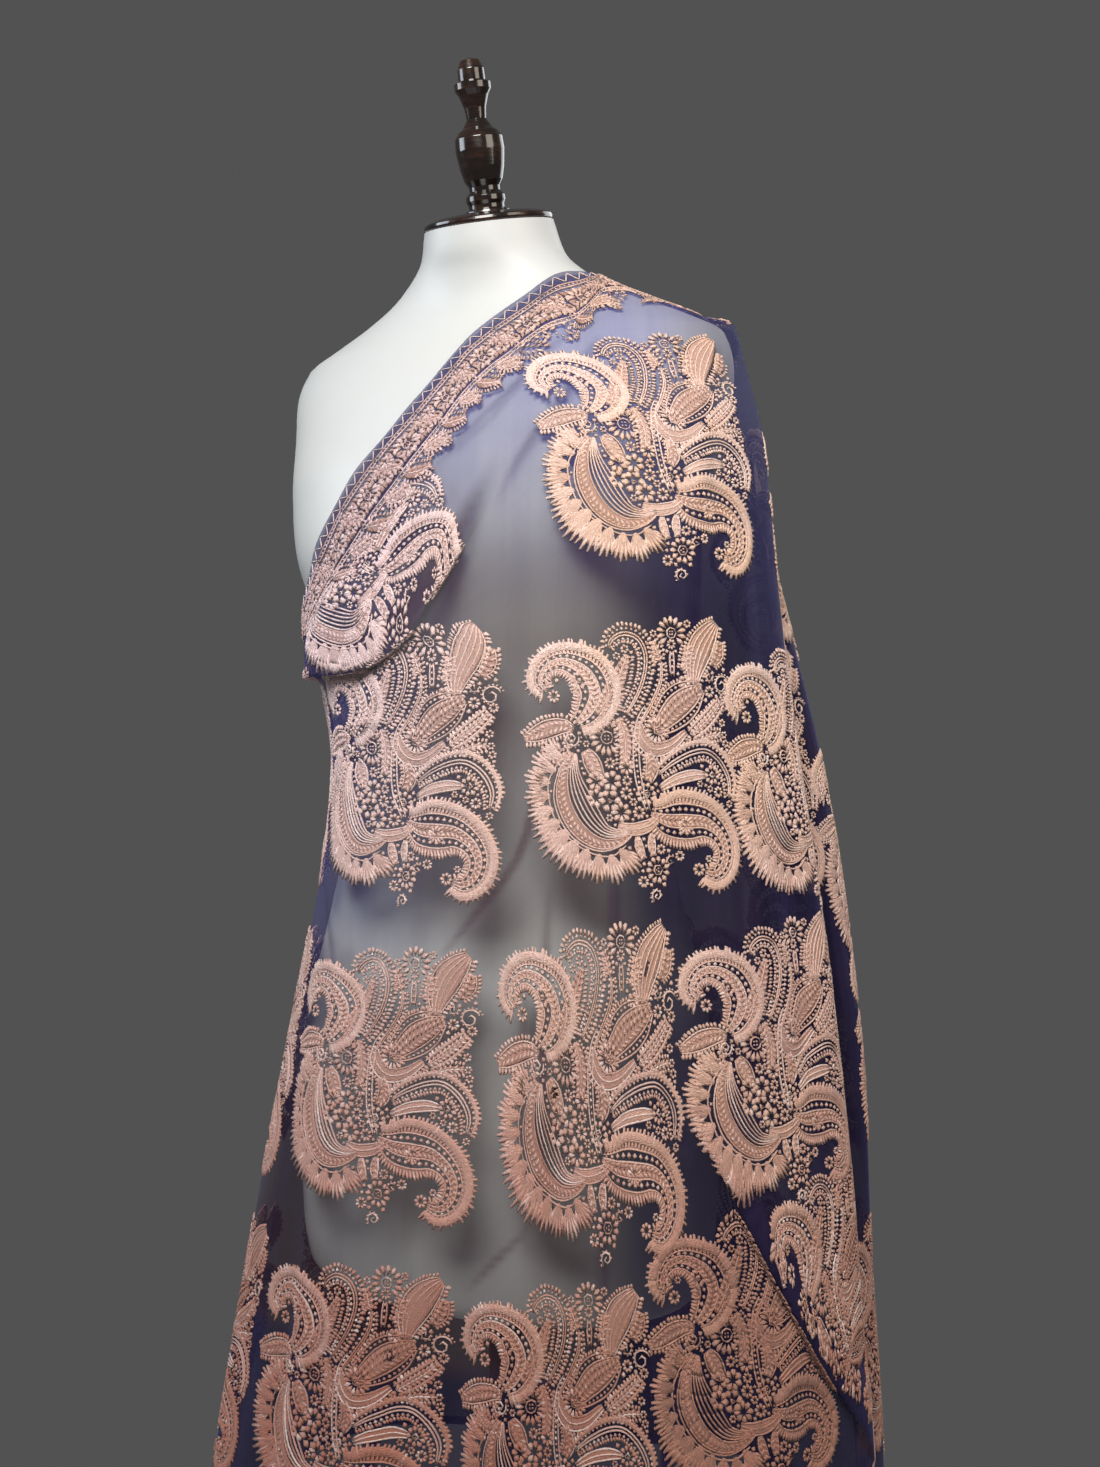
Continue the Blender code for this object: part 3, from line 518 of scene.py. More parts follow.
def trace(points: Points | np.ndarray, spacing: float, fineness: int = 24) -> np.ndarray:
    """Catmull-Rom curve through points, read at even steps of length.

    Args:
        points: Control points; columns after the second, such as a width, are carried along.
        spacing: The distance between readings.
        fineness: How many samples each span between two points is measured by.

    Returns:
        Readings, (n, columns).
    """
    p = np.asarray(points, dtype=float)
    q = np.vstack((2 * p[0] - p[1], p, 2 * p[-1] - p[-2]))
    spans = len(p) - 1
    at = np.linspace(0, spans, fineness * spans + 1)
    i = np.minimum(at.astype(int), spans - 1)
    f = (at - i)[:, None]
    a, b, c, d = q[i], q[i + 1], q[i + 2], q[i + 3]
    fine = 0.5 * (2 * b + (c - a) * f + (2 * a - 5 * b + 4 * c - d) * f**2 + (3 * b - a - 3 * c + d) * f**3)
    length = run_length(fine[:, :2])
    count = max(3, int(round(length[-1] / spacing)) + 1)
    return resampled(fine, length, np.linspace(0, length[-1], count))


def right_of(path: np.ndarray) -> np.ndarray:
    """Unit vectors to the right of the way a flat path runs."""
    return clockwise(unit(np.gradient(path[:, :2], axis=0)))


def beside(line: np.ndarray, offset: np.ndarray) -> np.ndarray:
    """A traced line in mm, brought to metres and moved to its right by offset metres."""
    return line[:, :2] * MM + right_of(line) * offset[:, None]


def nearest(spots: np.ndarray, others: np.ndarray, parts: int = 24) -> np.ndarray:
    """Each spot's distance to the nearest of the others, from |a|^2 + |b|^2 - 2ab, a part of the spots at a time."""
    squares = (others**2).sum(-1)
    found = [
        ((part**2).sum(-1)[:, None] + squares - 2 * part @ others.T).min(1) for part in np.array_split(spots, parts)
    ]
    return np.sqrt(np.maximum(np.concatenate(found), 0))


def inside_of(outline: np.ndarray, spots: np.ndarray) -> np.ndarray:
    """Which spots lie inside an outline: those from which a ray to the right crosses it an odd number of times."""
    odd = np.zeros(len(spots), dtype=bool)
    for a, b in zip(outline, np.roll(outline, -1, axis=0)):
        spans = (a[1] > spots[:, 1]) != (b[1] > spots[:, 1])
        cross = (b[0] - a[0]) * (spots[:, 1] - a[1]) / (b[1] - a[1] + TINY) + a[0]
        odd ^= spans & (spots[:, 0] < cross)
    return odd


@dataclass(frozen=True)
class Drape:
    """The form's surface and the shape that the worn cloth takes on it.

    fold_ends are the shares of a fold over which it rises and dies away. A ripple is (turns, turns per metre of
    height, phase) of one of the two waves whose product it is.
    """

    form_ease: float = 0.0013
    shoulder_ease: float = 0.0042
    shoulder_low: float = 1.350
    shoulder_high: float = 1.385
    hang_fade: float = 0.030
    blend: float = 0.004
    layer_gap: float = 0.0075
    layer_start: float = 104.0
    layer_full: float = 132.0
    fold_ends: tuple[float, float] = (0.35, 0.15)
    lap_above: float = 0.055
    lap_below: float = 0.007
    lap_droop: float = 0.020
    lap_droop_at: float = 0.004
    lap_droop_reach: float = 0.012
    lap_full_rise: float = 0.008
    doubled_at: float = 0.012
    doubled_reach: float = 0.016
    crease_step: float = 0.02
    crease_reach: float = 3.0
    # Painted shade along the creases makes the net denser: the next two set its width and the depth at which it is
    # full.
    pressed_more: float = 0.0014
    pressed_depth: float = 0.0030
    net_lift: float = 0.0009
    fine_fade: tuple[float, float] = (1.360, 1.395)
    ripple: float = 0.0008
    ripple_waves: tuple[tuple[float, float, float], ...] = ((23, 9, 0), (7, -17, 1))
    metre_per_degree: float = math.radians(1) * 0.18
    halvings: int = 30

    def forward_of(self, height: np.ndarray) -> np.ndarray:
        """How far the form's centre line leans forward at a height."""
        return column(TORSO, "forward", height)

    def form_radius(self, bearing: np.ndarray, height: np.ndarray) -> np.ndarray:
        """The form's radius: (|sin b / width|^n + |cos b / depth|^n)^(-1/n), with a front and a back depth."""
        side, ahead = np.sin(np.radians(bearing)), np.cos(np.radians(bearing))
        width, front, back, n = (column(TORSO, name, height) for name in ("half_width", "front", "back", "fullness"))
        depth = np.where(ahead > 0, front, back)
        radius = (np.abs(side / width) ** n + np.abs(ahead / depth) ** n) ** (-1 / n)
        return np.where(height > NECK_TOP, 0, radius)

    def hang_radius(self, bearing: np.ndarray, height: np.ndarray) -> np.ndarray:
        """Where the cloth hangs clear of the form: read round the bearings at each level, then by cubics down them."""
        table = [*HANGS, HANGS[0]._replace(bearing=180)]
        bearings = [row.bearing for row in table]
        turn = half_turn(bearing)
        levels = [smooth(bearings, [row[i + 1] for row in table], turn) for i in range(len(HANG_HEIGHTS))]
        heights = np.array(HANG_HEIGHTS[::-1])
        values = np.stack(levels[::-1], axis=-1)
        last = len(heights) - 1
        at = np.clip(height, HEM, HANG_TOP)
        i = np.clip(np.searchsorted(heights, at) - 1, 0, last - 1)
        span = heights[i + 1] - heights[i]
        before, low, high, after = (
            np.take_along_axis(values, np.clip(i + k, 0, last)[..., None], -1)[..., 0] for k in (-1, 0, 1, 2)
        )
        enter = (high - before) / (heights[i + 1] - heights[np.clip(i - 1, 0, last)]) * span
        leave = (after - low) / (heights[np.clip(i + 2, 0, last)] - heights[i]) * span
        fade = np.clip((np.asarray(height) - HANG_TOP) / self.hang_fade, 0, 1)
        return hermite(low, high, enter, leave, (at - heights[i]) / span) * (1 - soft_step(fade))

    def folds(self, bearing: np.ndarray, height: np.ndarray) -> np.ndarray:
        """The sum of the folds: each is a bell exp(-x^2) across its own leaning line, easing in at its ends."""
        out = np.zeros(np.broadcast(bearing, height).shape)
        for fold in FOLDS:
            along = (fold.top - height) / (fold.top - fold.foot)
            line = fold.top_bearing + (fold.foot_bearing - fold.top_bearing) * along
            off = half_turn(bearing - line) / fold.half_width
            ends = np.clip(along / self.fold_ends[0], 0, 1) * np.clip((1 - along) / self.fold_ends[1], 0, 1)
            out += fold.depth * np.exp(-off * off) * soft_step(ends)
        return out

    def laps(self, bearing: np.ndarray, height: np.ndarray) -> tuple[np.ndarray, np.ndarray, np.ndarray]:
        """The laps: a long slope above each lower edge, a steep drop below it, and a lip that hangs over.

        Returns:
            How far they stand out, how far the lip droops, and how doubled the cloth is (0 to 1).
        """
        turn = half_turn(bearing)
        rises, droops, doubled = (np.zeros(np.broadcast(bearing, height).shape) for _ in range(3))
        for lap in LAPS:
            rise = column(lap, "rise", turn, "bearing")
            share = rise / self.lap_full_rise
            off = height - column(lap, "height", turn, "bearing")
            rises += rise * np.exp(-((off / np.where(off > 0, self.lap_above, self.lap_below)) ** 2))
            droops += share * self.lap_droop * np.exp(-(((off - self.lap_droop_at) / self.lap_droop_reach) ** 2))
            doubled += share * np.clip(1 - np.abs(off - self.doubled_at) / self.doubled_reach, 0, 1)
        return rises, droops, doubled

    def creases(self, bearing: np.ndarray, height: np.ndarray) -> tuple[np.ndarray, np.ndarray]:
        """Pressed lines: each is a bell over the distance to its own line, fading at its two ends.

        Returns:
            How far they stand out, and the painted shade along them at each place (0 to 1).
        """
        bearing, height = np.broadcast_arrays(bearing, height)
        out, crease_shade = np.zeros(bearing.shape), np.zeros(bearing.shape)
        x = bearing * self.metre_per_degree
        for crease in CREASES:
            path = trace(tuple((b * self.metre_per_degree, z) for b, z in crease.path), self.crease_step)
            reach = self.crease_reach * crease.half_width
            low, high = path.min(0) - reach, path.max(0) + reach
            near = (x > low[0]) & (x < high[0]) & (height > low[1]) & (height < high[1])
            at = np.stack((x[near], height[near]), -1)
            best = np.full(len(at), 1e9)
            ends = np.zeros(len(at))
            for k, (a, b) in enumerate(zip(path[:-1], path[1:])):
                share = np.clip(((at - a) @ (b - a)) / ((b - a) @ (b - a)), 0, 1)
                off = np.linalg.norm(at - a - share[:, None] * (b - a), axis=1)
                ends = np.where(off < best, (k + share) / (len(path) - 1), ends)
                best = np.minimum(best, off)
            fade = np.sin(np.pi * ends) ** 0.5
            out[near] += crease.depth * np.exp(-((best / crease.half_width) ** 2)) * fade
            # Painted shade along the crease, narrower than its relief, read by the net's alpha.
            narrow = 0.5 * crease.half_width + self.pressed_more
            strength = min(abs(crease.depth) / self.pressed_depth, 1.0)
            crease_shade[near] = np.maximum(crease_shade[near], strength * np.exp(-((best / narrow) ** 2)) * fade)
        return out, crease_shade

    def fine(self, bearing: np.ndarray, height: np.ndarray) -> np.ndarray:
        """The creases' relief and small ripples, faded out near the shoulder."""
        ripple = math.prod(
            np.sin(np.radians(bearing) * turns + rise * height + phase) for turns, rise, phase in self.ripple_waves
        )
        fade = np.clip((self.fine_fade[1] - height) / (self.fine_fade[1] - self.fine_fade[0]), 0, 1)
        return (self.creases(bearing, height)[0] + self.ripple * ripple) * fade

    def radius(self, bearing: np.ndarray, height: np.ndarray) -> np.ndarray:
        """The cloth's inner face: the larger of lying on the form with a little ease and hanging, softly blended.

        The fall, past layer_start, also rises over the back stretch beneath it.
        """
        level = np.clip((height - self.shoulder_low) / (self.shoulder_high - self.shoulder_low), 0, 1)
        near = self.form_radius(bearing, height) + self.form_ease + (self.shoulder_ease - self.form_ease) * level
        far = self.hang_radius(bearing, height) + self.folds(bearing, height) + self.laps(bearing, height)[0]
        rise = np.clip((bearing - self.layer_start) / (self.layer_full - self.layer_start), 0, 1)
        lift = self.layer_gap * soft_step(rise)
        return np.maximum(near, far) + self.blend / 2 * np.exp(-np.abs(near - far) / self.blend) + lift

    def place(self, bearing: np.ndarray, height: np.ndarray, radius: np.ndarray) -> np.ndarray:
        """The point at a bearing, height and radius: (r sin b, -forward - r cos b, height)."""
        angle = np.radians(bearing)
        across, ahead = radius * np.sin(angle), radius * np.cos(angle) + self.forward_of(height)
        return np.stack(np.broadcast_arrays(across, -ahead, height), -1)

    def cloth(self, bearing: np.ndarray, height: np.ndarray) -> np.ndarray:
        """The point of the cloth's inner face at a bearing and height."""
        return self.place(bearing, height, self.radius(bearing, height))

    def surface(self, bearing: np.ndarray, height: np.ndarray) -> np.ndarray:
        """The net itself: the cloth's radius with its fine creases, and the laps' lips lowered to hang over."""
        radius = self.radius(bearing, height) + self.fine(bearing, height) + self.net_lift
        return self.place(bearing, height, radius) - np.array([0, 0, 1]) * self.laps(bearing, height)[1][..., None]

    def height_over(self, x: np.ndarray, y: np.ndarray, low: np.ndarray) -> np.ndarray:
        """The cloth's height over plan points near the shoulder, by halving the range of heights again and again."""
        bottom, top = np.broadcast_to(low, x.shape).copy(), np.full_like(x, NECK_TOP)
        for _ in range(self.halvings):
            middle = (bottom + top) / 2
            ahead = -(y + self.forward_of(middle))
            bearing = np.degrees(np.arctan2(x, ahead))
            inside = np.hypot(x, ahead) <= self.radius(bearing, middle)
            bottom, top = np.where(inside, middle, bottom), np.where(inside, top, middle)
        return bottom


@dataclass(frozen=True)
class Ground:
    """A patch of cloth to work on: a grid of its places and outward normals over flat measures across and up."""

    across: np.ndarray
    up: np.ndarray
    places: np.ndarray
    normals: np.ndarray

    @classmethod
    def over(cls, across: np.ndarray, up: np.ndarray, places: np.ndarray) -> "Ground":
        """A ground whose normals are the cross product of the grid's own slopes, across then up."""
        return cls(across, up, places, unit(np.cross(np.gradient(places, axis=1), np.gradient(places, axis=0))))

    def read(self, grid: np.ndarray, flat: np.ndarray) -> np.ndarray:
        """One grid's values under flat points, by the weights of each cell's four corners."""
        i = np.interp(flat[:, 0], self.across, np.arange(len(self.across)))
        j = np.interp(flat[:, 1], self.up, np.arange(len(self.up)))
        i0 = np.minimum(i.astype(int), len(self.across) - 2)
        j0 = np.minimum(j.astype(int), len(self.up) - 2)
        u, v = (i - i0)[:, None], (j - j0)[:, None]
        low = grid[j0, i0] * (1 - u) + grid[j0, i0 + 1] * u
        high = grid[j0 + 1, i0] * (1 - u) + grid[j0 + 1, i0 + 1] * u
        return low * (1 - v) + high * v

    def lay(self, worked: np.ndarray, base: float) -> np.ndarray:
        """Flat stitches (across, up, rise) laid on the cloth: place + normal times (base + rise)."""
        return self.read(self.places, worked) + unit(self.read(self.normals, worked)) * (base + worked[:, 2:3])


class Stitch(Enum):
    """The cross-section of a raised strip, as (share of half-width, share of rise) points."""

    ROUND = ((-1.0, 0.0), (0.0, 1.0), (1.0, 0.0))
    FLAT = ((-1.0, 0.0), (-0.72, 1.0), (0.72, 1.0), (1.0, 0.0))


class Leaf(NamedTuple):
    """The leaves of a row, in mm: lean is in degrees, and behind is the share of each that lies behind the row."""

    step: float
    length: float
    width: float
    lean: float
    behind: float
    rise: float
    tone: float


# A leaf is a foot and two rings of three corners; a bead is two tips, two flanks and a crest.
LEAF_ALONG = np.array([0.0, 0.6, 0.6, 0.6, 1.0, 1.0, 1.0])
LEAF_ASIDE = np.array([0.0, -0.5, 0.0, 0.5, -0.27, 0.0, 0.27])
LEAF_RISE = np.array([0.5, 0.0, 1.0, 0.0, 0.0, 0.6, 0.0])
LEAF_FACES = (
    (0, 2, 1), (0, 3, 2), (0, 1, 3), (1, 2, 5), (1, 5, 4), (2, 3, 6), (2, 6, 5), (3, 1, 4), (3, 4, 6), (4, 5, 6)
)
BEAD_RISE = np.array([0.2, 0.0, 1.0, 0.0, 0.2])
BEAD_FACES = ((0, 2, 1), (0, 3, 2), (0, 1, 3), (4, 1, 2), (4, 2, 3), (4, 3, 1))


@dataclass
class Work:
    """Raised stitches on the flat, gathered as closed solids; random makes their sizes, leans and tones uneven."""

    vertices: list[np.ndarray] = field(default_factory=list)
    faces: list[np.ndarray] = field(default_factory=list)
    threads: list[np.ndarray] = field(default_factory=list)
    tones: list[np.ndarray] = field(default_factory=list)
    strips: list[np.ndarray] = field(default_factory=list)
    count: int = 0
    strip_count: int = 0
    random: np.random.Generator = field(default_factory=lambda: np.random.default_rng(11))
    most_rings: int = 400
    uneven_tone: float = 0.07
    uneven_size: tuple[float, float] = (0.88, 1.1)
    uneven_lean: float = 5.0
    least_size: float = 0.3
    cord_end: tuple[float, float] = (0.35, 1.5)

    def gather(
        self, flat: np.ndarray, high: np.ndarray, faces: Points | np.ndarray, threads: np.ndarray, tone: float
    ) -> None:
        """Keeps many closed stitches of one shape.

        Args:
            flat: The places of their corners, (n, corners, 2).
            high: How high the corners of each stand, (corners,).
            faces: The triangles of one.
            threads: The corners' measures across and along the thread, in the same order as flat.
            tone: How much lighter or darker the thread is.
        """
        count, corners = flat.shape[:2]
        high = np.tile(high, (count, 1))
        self.vertices.append(np.concatenate((flat, high[..., None]), -1).reshape(-1, 3))
        start = self.count + np.arange(count) * corners
        self.faces.append((start[:, None, None] + np.array(faces)).reshape(-1, 3))
        self.threads.append(threads.reshape(-1, 2))
        self.tones.append(np.repeat(tone + self.random.normal(0, self.uneven_tone, count), corners))
        self.strips.append(np.repeat(self.strip_count + np.arange(count), corners))
        self.count += count * corners
        self.strip_count += count

    def leaves(
        self, foot: np.ndarray, way: np.ndarray, length: np.ndarray, width: np.ndarray, rise: float, tone: float
    ) -> None:
        """Short satin leaves: a point at the foot, then a wide and a narrower ring of three corners each.

        Args:
            foot: Where each starts, (n, 2).
            way: Unit vectors that they point along, (n, 2).
            length: Their lengths, (n,).
            width: Their widths, (n,).
            rise: How high they stand.
            tone: How much lighter or darker the thread is.
        """
        along, across = length[:, None] * LEAF_ALONG, width[:, None] * LEAF_ASIDE
        flat = foot[:, None] + way[:, None] * along[..., None] + clockwise(way)[:, None] * across[..., None]
        self.gather(flat, LEAF_RISE * rise, LEAF_FACES, np.stack((across, along), -1), tone)

    def beads(self, at: np.ndarray, way: np.ndarray, radius: np.ndarray, rise: float, tone: float) -> None:
        """Knots: each a five-cornered bead with two tips along its way and a crest between them."""
        ahead, aside = way * radius[:, None], clockwise(way) * radius[:, None]
        flat = np.stack((at - ahead, at - aside, at, at + aside, at + ahead), 1)
        self.gather(flat, BEAD_RISE * rise, BEAD_FACES, flat, tone)

    def spaced(
        self, path: np.ndarray, step: float, scale: np.ndarray | None
    ) -> tuple[np.ndarray, np.ndarray, np.ndarray]:
        """Even places along a path.

        Args:
            path: The line, (n, 2).
            step: The distance between places.
            scale: A share of the full size at each point of the path.

        Returns:
            The places, the unit vectors to their right, and their sizes.
        """
        run = run_length(path)
        count = max(1, int(run[-1] / step))
        want = (np.arange(count) + 0.5) * run[-1] / count
        at, right = resampled(path, run, want), unit(resampled(right_of(path), run, want))
        size = np.ones(count) if scale is None else np.interp(want, run, scale)
        size = size * self.random.uniform(*self.uneven_size, count)
        kept = size > self.least_size
        return at[kept], right[kept], size[kept]

    def row(self, path: np.ndarray, leaf: Leaf, scale: np.ndarray | None = None) -> None:
        """A row of leaves along a path, each turned to the right of the way the path runs."""
        at, right, size = self.spaced(path, leaf.step * MM, scale)
        angle = np.radians(leaf.lean + self.random.normal(0, self.uneven_lean, len(at)))[:, None]
        way = -clockwise(right) * np.cos(angle) + right * np.sin(angle)
        length = leaf.length * MM * size
        foot = at - way * (length * leaf.behind)[:, None]
        self.leaves(foot, way, length, leaf.width * MM * size, leaf.rise * MM, leaf.tone)

    def knots(
        self, path: np.ndarray, step: float, radius: float, rise: float, tone: float, scale: np.ndarray | None = None
    ) -> None:
        """A row of knots along a path."""
        at, right, size = self.spaced(path, step, scale)
        self.beads(at, -clockwise(right), radius * size, rise, tone)

    def ringed(
        self, middle: np.ndarray, side: np.ndarray, half: np.ndarray, rise: float, stitch: Stitch, tone: float
    ) -> None:
        """One strip: a section at each point of its middle line, joined by triangles and closed at both ends.

        Args:
            middle: The middle line, (rings, 2).
            side: Unit vectors to its right, (rings, 2).
            half: Half-widths, (rings,).
            rise: How high it stands.
            stitch: Its section.
            tone: How much lighter or darker the thread is.
        """
        section = np.array(stitch.value)
        rings, corners = len(middle), len(section)
        across = half[:, None] * section[:, 0]
        flat = middle[:, None] + side[:, None] * across[..., None]
        along = np.broadcast_to(run_length(middle)[:, None], across.shape)
        ring, corner = np.meshgrid(np.arange(rings - 1), np.arange(corners), indexing="ij")
        a = ring * corners + corner
        b = ring * corners + (corner + 1) % corners
        sides = np.stack((a, b, b + corners, a, b + corners, a + corners), -1).reshape(-1, 3)
        last = (rings - 1) * corners
        caps = [(0, j + 1, j) for j in range(1, corners - 1)]
        caps += [(last, last + j, last + j + 1) for j in range(1, corners - 1)]
        threads = np.stack((across, along), -1)
        high = np.tile(rise * section[:, 1], rings)
        self.gather(flat.reshape(1, -1, 2), high, np.vstack((sides, np.array(caps))), threads, tone)

    def strip(
        self, path: np.ndarray, half: np.ndarray, rise: float, spacing: float, stitch: Stitch, tone: float
    ) -> None:
        """A couched cord, or a low filled bed under raised rows, carried along a whole path in parts of most_rings.

        Args:
            path: The line, (n, 2).
            half: The strip's half-width at each point of the line.
            rise: How high it stands.
            spacing: The distance between its rings.
            stitch: Its section.
            tone: How much lighter or darker the thread is.
        """
        run = run_length(path)
        want = np.linspace(0, run[-1], max(3, int(run[-1] / spacing) + 1))
        middle = resampled(path, run, want)
        wide, side = np.interp(want, run, half), right_of(middle)
        for first in range(0, len(want) - 1, self.most_rings - 1):
            part = slice(first, min(first + self.most_rings, len(want)))
            self.ringed(middle[part], side[part], wide[part], rise, stitch, tone)

    def cord(self, path: np.ndarray, width: float, rise: float, tone: float, spacing: float = 3.4 * MM) -> None:
        """A couched cord, thinner at its two ends: from a share of its width there, it grows over so many widths."""
        run = run_length(path)
        if run[-1] > 2 * width:
            share, widths = self.cord_end
            ends = np.clip(np.minimum(run, run[-1] - run) / (widths * width) + share, 0, 1)
            self.strip(path, width / 2 * ends, rise, spacing, Stitch.ROUND, tone)

    def bound(self) -> "Sewn":
        """The gathered stitches as whole arrays."""
        return Sewn(*(np.concatenate(getattr(self, part.name)) for part in fields(Sewn)))


@dataclass(frozen=True)
class Sewn:
    """A finished piece of needlework as arrays: points, triangles, thread measures, tones and strip numbers."""

    vertices: np.ndarray
    faces: np.ndarray
    threads: np.ndarray
    tones: np.ndarray
    strips: np.ndarray

    def kept(self, keep: np.ndarray) -> "Sewn":
        """Only the strips whose every point is kept, with the points numbered afresh."""
        bad = np.zeros(self.strips.max() + 1, dtype=bool)
        bad[self.strips[~keep]] = True
        good = ~bad[self.strips]
        number = np.cumsum(good) - 1
        faces = number[self.faces[good[self.faces[:, 0]]]]
        return Sewn(self.vertices[good], faces, self.threads[good], self.tones[good], self.strips[good])

    @staticmethod
    def joined(parts: list["Sewn"]) -> "Sewn":
        """Several pieces of needlework as one, their points and strips numbered one after another."""
        points = np.cumsum([0, *(len(part.vertices) for part in parts)])
        strips = np.cumsum([0, *(int(part.strips.max()) + 1 for part in parts)])
        moved = [
            replace(part, faces=part.faces + n, strips=part.strips + m) for part, n, m in zip(parts, points, strips)
        ]
        return Sewn(*(np.concatenate([getattr(part, one.name) for part in moved]) for one in fields(Sewn)))


@dataclass(frozen=True)
class Bouquet:
    """The bouquet that the cloth repeats: paisleys, a fan of leaf clusters, feathers and round flowers.

    Lengths are in mm, but width is in metres. The leaves of a fringe longer than wide_from are wider, and one longer
    than band_from stands on a satin band. Tones are added to a shape's own: below 0 is darker. swell is how much
    larger the clusters grow near the fan's middle, where along the fan that is, and over what share of it.

    ring_cord is (share of the ring's radius, width, tone) of a flower's ring, and ring_knots (share, step, radius,
    tone) of the knots in it. hook_cord is (width, tone), and hook_knots are as ring_knots. A gap with more room than
    flower_from gets a flower, with more petals from petals_from.
    """

    width: float = 0.170
    leaf_long: float = 5.4
    leaf_wide: float = 2.9
    leaf_step: float = 3.7
    leaf_lean: float = 46.0
    knot_radius: float = 1.5
    knot_step: float = 3.7
    knot_tone: float = 0.06
    paisley_knots: float = 1.35
    cord_wide: float = 1.6
    cord_rise: float = 0.85
    cord_tone: float = 0.08
    # The low beds under the raised rows are darkened as painted shade between the rows.
    bed_tone: float = -0.16
    bed_rise: float = 0.3
    bed_step: float = 4.0
    band_from: float = 4.5
    band_at: float = 0.32
    band_wide: float = 0.40
    band_rise: float = 0.62
    ring_step: float = 3.4
    fringe_wide: tuple[float, float] = (2.8, 3.3)
    wide_from: float = 4.0
    fringe_lean: float = 78.0
    fringe_step: float = 0.90
    fringe_rise: float = 0.9
    tuck: float = 0.08
    paisley_tuck: float = 0.36
    rise: float = 1.5
    least_room: float = 1.75
    most_fill: float = 4.8
    fill_gap: float = 0.2
    flower_from: float = 2.4
    petals_from: float = 3.6
    petals: tuple[int, int] = (6, 8)
    heart: float = 0.22
    petal_from: float = 1.05
    petal_share: float = 0.86
    petal_tone: float = 0.04
    ring_cord: tuple[float, ...] = (0.82, 1.3, 0.10)
    ring_knots: tuple[float, ...] = (0.3, 2.2, 1.0, -0.05)
    hook_start: float = 0.25
    hook_cord: tuple[float, ...] = (1.7, 0.08)
    hook_knots: tuple[float, ...] = (0.22, 2.8, 1.1, 0.04)
    body_rise: float = 0.6
    body_tone: float = -0.10
    teeth_tone: float = 0.03
    arc_inside: float = 4.5
    least_scale: float = 0.45
    least_band: float = 0.3
    full_band: float = 5.0
    flower_turn: float = 40.0
    knot_turn: float = 0.9
    cell: float = 1.25
    parts: int = 6
    swell: tuple[float, float, float] = (0.36, 0.56, 0.12)
    body: Points = ((-6.0, 1.2), (-3.5, 3.6), (0.5, 5.0), (4.5, 5.2), (8.0, 4.2), (10.0, 1.8))
    most_rings: int = 400

    def lobe(self, work: Work, lobe: Lobe) -> None:
        """Works one shape: a row at share s runs at line + right x s x half-width, and the fringe stands on s = 1."""
        line = trace(lobe.line, 1.0)
        half, rise, rows_of = line[:, 2] * MM, self.rise * MM, lobe.filling
        roomy = np.clip(line[:, 2] / (0.5 * line[:, 2].max()), self.least_scale, 1)
        for low, high in rows_of.mats:
            path, bed = beside(line, (low + high) / 2 * half), (high - low) / 2 * half
            # Painted shade between the raised rows.
            tone = lobe.tone + self.bed_tone
            work.strip(path, bed, self.bed_rise * rise, self.bed_step * MM, Stitch.FLAT, tone)
        for share in rows_of.cords:
            tone = lobe.tone + self.cord_tone
            work.cord(beside(line, share * half), self.cord_wide * MM, self.cord_rise * rise, tone)
        for share in rows_of.knots:
            size = self.paisley_knots if rows_of is PAISLEY else 1.0
            step, radius = size * self.knot_step * MM, size * self.knot_radius * MM
            work.knots(beside(line, share * half), step, radius, rise, lobe.tone + self.knot_tone, roomy)
        for share in rows_of.leaves:
            lean = self.leaf_lean * (1 if share > 0 else -1)
            leaf = Leaf(self.leaf_step, self.leaf_long, self.leaf_wide, lean, 0.5, self.rise, lobe.tone)
            work.row(beside(line, share * half), leaf, roomy)
        for sign, long in ((1, lobe.right), (-1, lobe.left)):
            if long:
                self.fringe(work, lobe, line, sign, long)

    def fringe(self, work: Work, lobe: Lobe, line: np.ndarray, sign: int, long: float) -> None:
        """Works the leaf fringe on one side of a shape, over a satin band where it is long.

        Args:
            work: The needlework so far.
            lobe: The shape.
            line: Its traced middle line and half-width.
            sign: 1 for its right side, -1 for its left.
            long: How far the leaves reach past its edge.
        """
        half = line[:, 2] * MM
        inset = (self.paisley_tuck if lobe.filling is PAISLEY else self.tuck) * float(line[:, 2].mean())
        wide = self.fringe_wide[long > self.wide_from]
        whole, lean, rise = long + inset, sign * self.fringe_lean, self.fringe_rise * self.rise
        work.row(
            beside(line, sign * half), Leaf(self.fringe_step * wide, whole, wide, lean, inset / whole, rise, lobe.tone)
        )
        if long > self.band_from:
            band = self.band_wide * long * MM * np.clip(line[:, 2] / self.full_band, self.least_band, 1)
            path = beside(line, sign * (half + self.band_at * long * MM))
            work.strip(path, band, self.band_rise * self.rise * MM, self.ring_step * MM, Stitch.FLAT, lobe.tone)

    def bloom(self, work: Work, bloom: Bloom) -> None:
        """Works one round flower: petals on rays from the ring out, the ring as a cord, and knots inside it."""
        middle, rise = np.array([bloom.across, bloom.up]) * MM, self.rise * MM
        inner = max(bloom.ring, self.heart * bloom.radius) * MM
        shares = np.linspace(-0.5, 0.5, bloom.petals, endpoint=bloom.spread < 360)
        way = rays(np.radians(bloom.turn + shares * bloom.spread))
        long = np.full(bloom.petals, bloom.radius * MM - inner)
        room = math.radians(bloom.spread) / bloom.petals * bloom.radius * MM
        wide = np.full(bloom.petals, self.petal_share * room)
        work.leaves(middle + way * inner * self.petal_from, way, long, wide, rise, self.petal_tone)
        if bloom.ring:
            about = rays(np.linspace(0, 2 * np.pi, 25)) * bloom.ring * MM
            at, thick, tone = self.ring_cord
            work.cord(middle + about * at, thick * MM, rise, tone)
            at, step, radius, tone = self.ring_knots
            work.knots(middle + about * at, step * MM, radius * MM, rise, tone)

